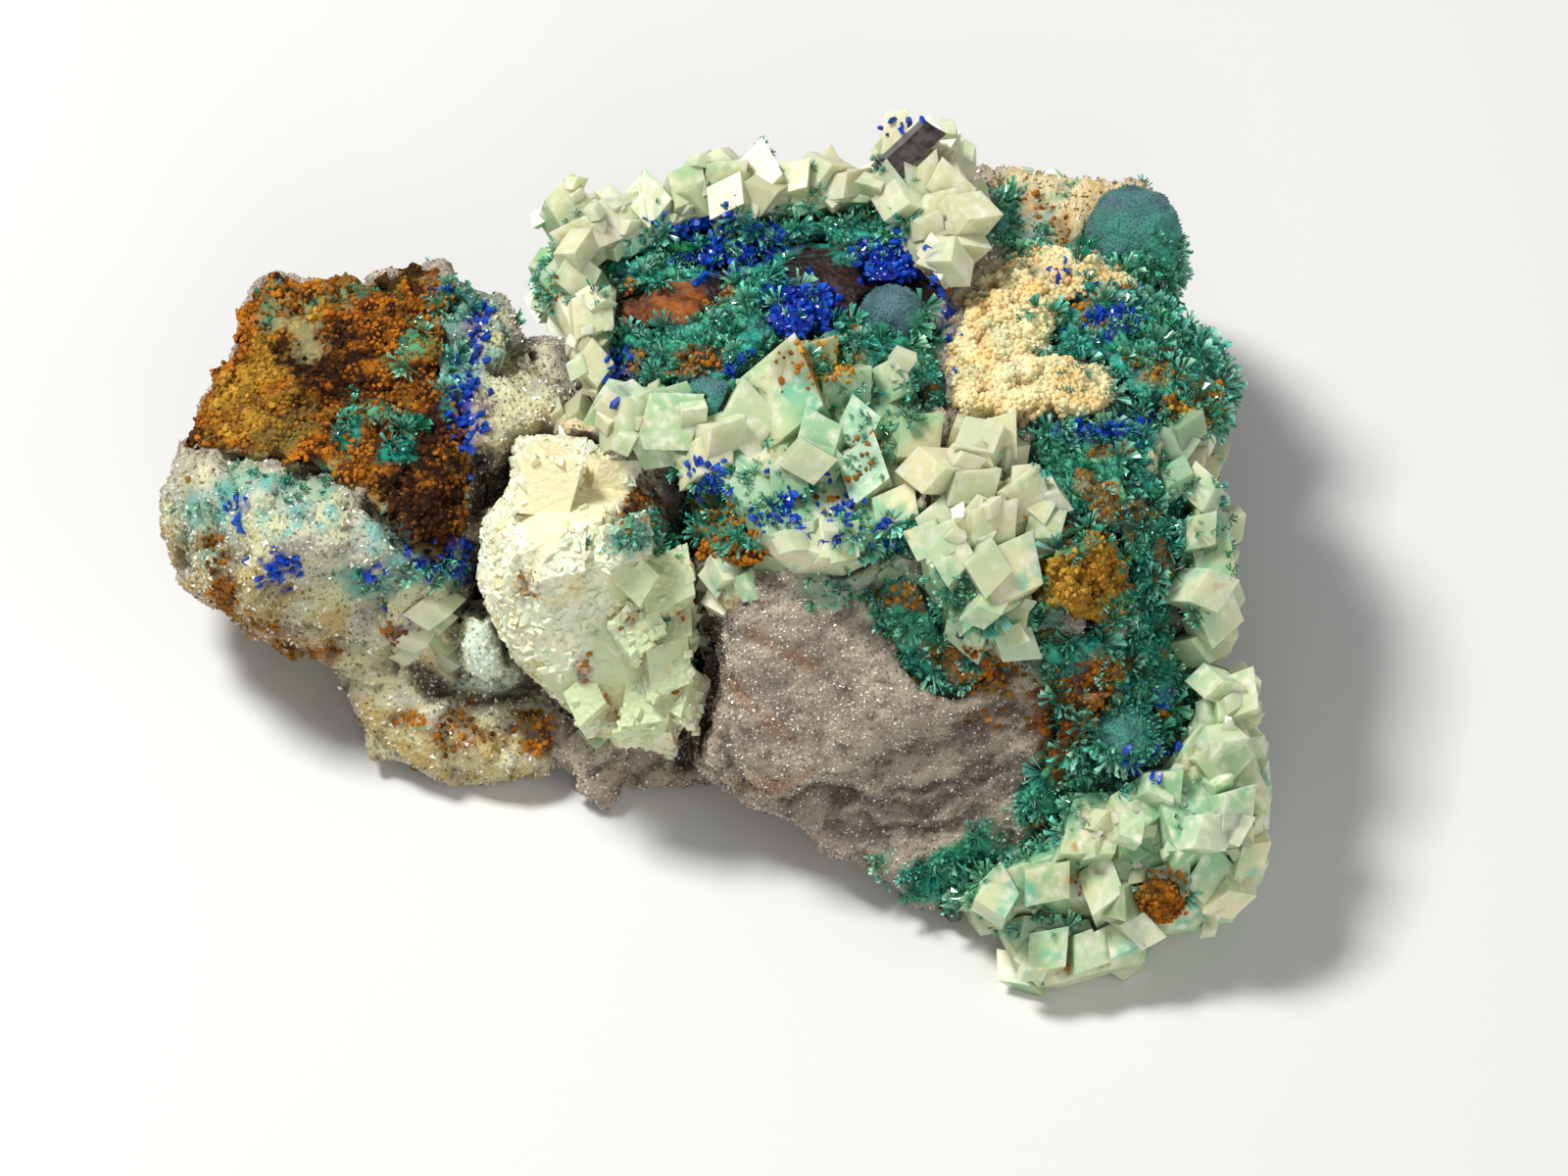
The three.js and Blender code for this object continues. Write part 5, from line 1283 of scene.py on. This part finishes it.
# What is strewn: ground, shapes, finish, zone, spacing, sizes, tilt, turn, sink, least cover and slot
GROWTHS = {
    "tyrolite_rosettes": (ground, ROSETTES, "blades", "tyrolite",
        1.3, (1.1, 2.2), 0.6, ANY_TURN, 0.1, 0.55, "tyrolite"),
    "tyrolite_sprigs": (ground, SPRIGS, "blades", "tyrolite",
        0.66, (0.45, 1.1), 0.9, ANY_TURN, 0.05, 0.15, "tyrolite"),
    "azurite_crystals": (ground, PRISMS, "azurite", "azurite",
        0.36, (0.35, 0.95), 1.0, ANY_TURN, 0.1, 0.3, "azurite"),
    "limonite_crumbs": (ground, CRUMBS, "crumbs", "limonite",
        0.4, (0.22, 0.66), 1.5, ANY_TURN, 0.0, 0.2, "limonite"),
    "small_rhombs": (crystal_ground, RHOMBS, "pale_rhombs", "rhomb",
        1.9, (1.2, 3.6), 0.4, 0.5, 0.14, 0.4, "pale_rhombs"),
    "tiny_rhombs": (crystal_ground, RHOMBS, "cream_rhombs", "nook",
        1.0, (0.45, 1.4), 0.7, 0.8, 0.05, 0.3, "pale_rhombs"),
    "lobe_crystals": (lobe_ground, RHOMBS, "lobe", "fine",
        0.52, (0.3, 1.0), 0.9, ANY_TURN, 0.22, 0.1, "cream_rhombs"),
    "cream_blocks": (ground, RHOMBS, "cream_rhombs", "cream",
        1.5, (1.4, 3.2), 0.5, 0.5, 0.1, 0.5, "cream_rhombs"),
    "sugar_grains": (rock_ground, GRAINS, "sugar", "bare",
        0.24, (0.16, 0.38), 0.9, ANY_TURN, 0.1, 0.05, "druse_rock"),
    "light_grains": (rock_ground, GRAINS, "light_sugar", "light",
        0.36, (0.25, 0.6), 0.9, ANY_TURN, 0.1, 0.2, "druse_rock"),
    "crust_knobs": (crust_ground, KNOBS, "cream", "all",
        0.4, (0.3, 0.85), 1.0, ANY_TURN, 0.0, 0.1, "cream_crust"),
    "ball_fur": (ball_ground, GRAINS, "fur", "all",
        0.24, (0.16, 0.3), 0.6, ANY_TURN, 0.1, 0.1, "grey_balls"),
}
for seed, (name, (host, shapes, finish, *how, slot)) in enumerate(GROWTHS.items(), FIRST_SEED):
    piece = grow(name, host, shapes, FINISHES[finish], *how, seed)
    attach(piece, "root")

for helper in (ground, crystal_ground, rock_ground, crust_ground, ball_ground, lobe_ground):
    bpy.data.objects.remove(helper)


# Stage: floor, light and camera
def face_point(x, v, w):
    """A point of the display face, in metres."""
    return (Vector(FACE_ORIGIN) + Vector((x, 0, 0)) + FACE_UP * v + FACE_OUT * w) * MM


def build_floor():
    mesh = bpy.data.meshes.new("floor")
    mesh.from_pydata([(FLOOR_REACH * a, FLOOR_REACH * b, 0) for a, b in CORNERS], [], [(0, 1, 2, 3)])
    floor = bpy.data.objects.new("floor", mesh)
    bpy.context.scene.collection.objects.link(floor)
    finish, _, _ = new_finish("pale_floor", Base_Color=srgb(214, 213, 210), Roughness=0.7)
    mesh.materials.append(finish)


def build_light(name, place, size, power):
    lamp = bpy.data.lights.new(name, "AREA")
    lamp.energy = power
    lamp.size = size
    obj = bpy.data.objects.new(name, lamp)
    obj.location = place
    obj.rotation_euler = (face_point(0, 0, 0) - Vector(place)).to_track_quat("-Z", "Y").to_euler()
    bpy.context.scene.collection.objects.link(obj)


def build_camera():
    data = bpy.data.cameras.new("camera")
    data.lens = LENS_MM
    data.sensor_width = SENSOR_MM
    data.clip_start = 0.05
    data.clip_end = 10
    camera = bpy.data.objects.new("camera", data)
    distance = VIEW_WIDTH * LENS_MM / SENSOR_MM
    turn = Matrix((Vector((1, 0, 0)), FACE_UP, FACE_OUT)).transposed().to_4x4()
    camera.matrix_world = Matrix.Translation(face_point(*VIEW_CENTRE, distance)) @ turn
    bpy.context.scene.collection.objects.link(camera)
    bpy.context.scene.camera = camera


def build_world():
    world = bpy.data.worlds.new("soft_room")
    world.use_nodes = True
    world.node_tree.nodes["Background"].inputs["Color"].default_value = ROOM_COLOUR
    world.node_tree.nodes["Background"].inputs["Strength"].default_value = ROOM_STRENGTH
    bpy.context.scene.world = world
    bpy.context.scene.view_settings.view_transform = "Standard"


build_floor()
for name, how in LIGHTS.items():
    build_light(name, *how)
build_camera()
build_world()
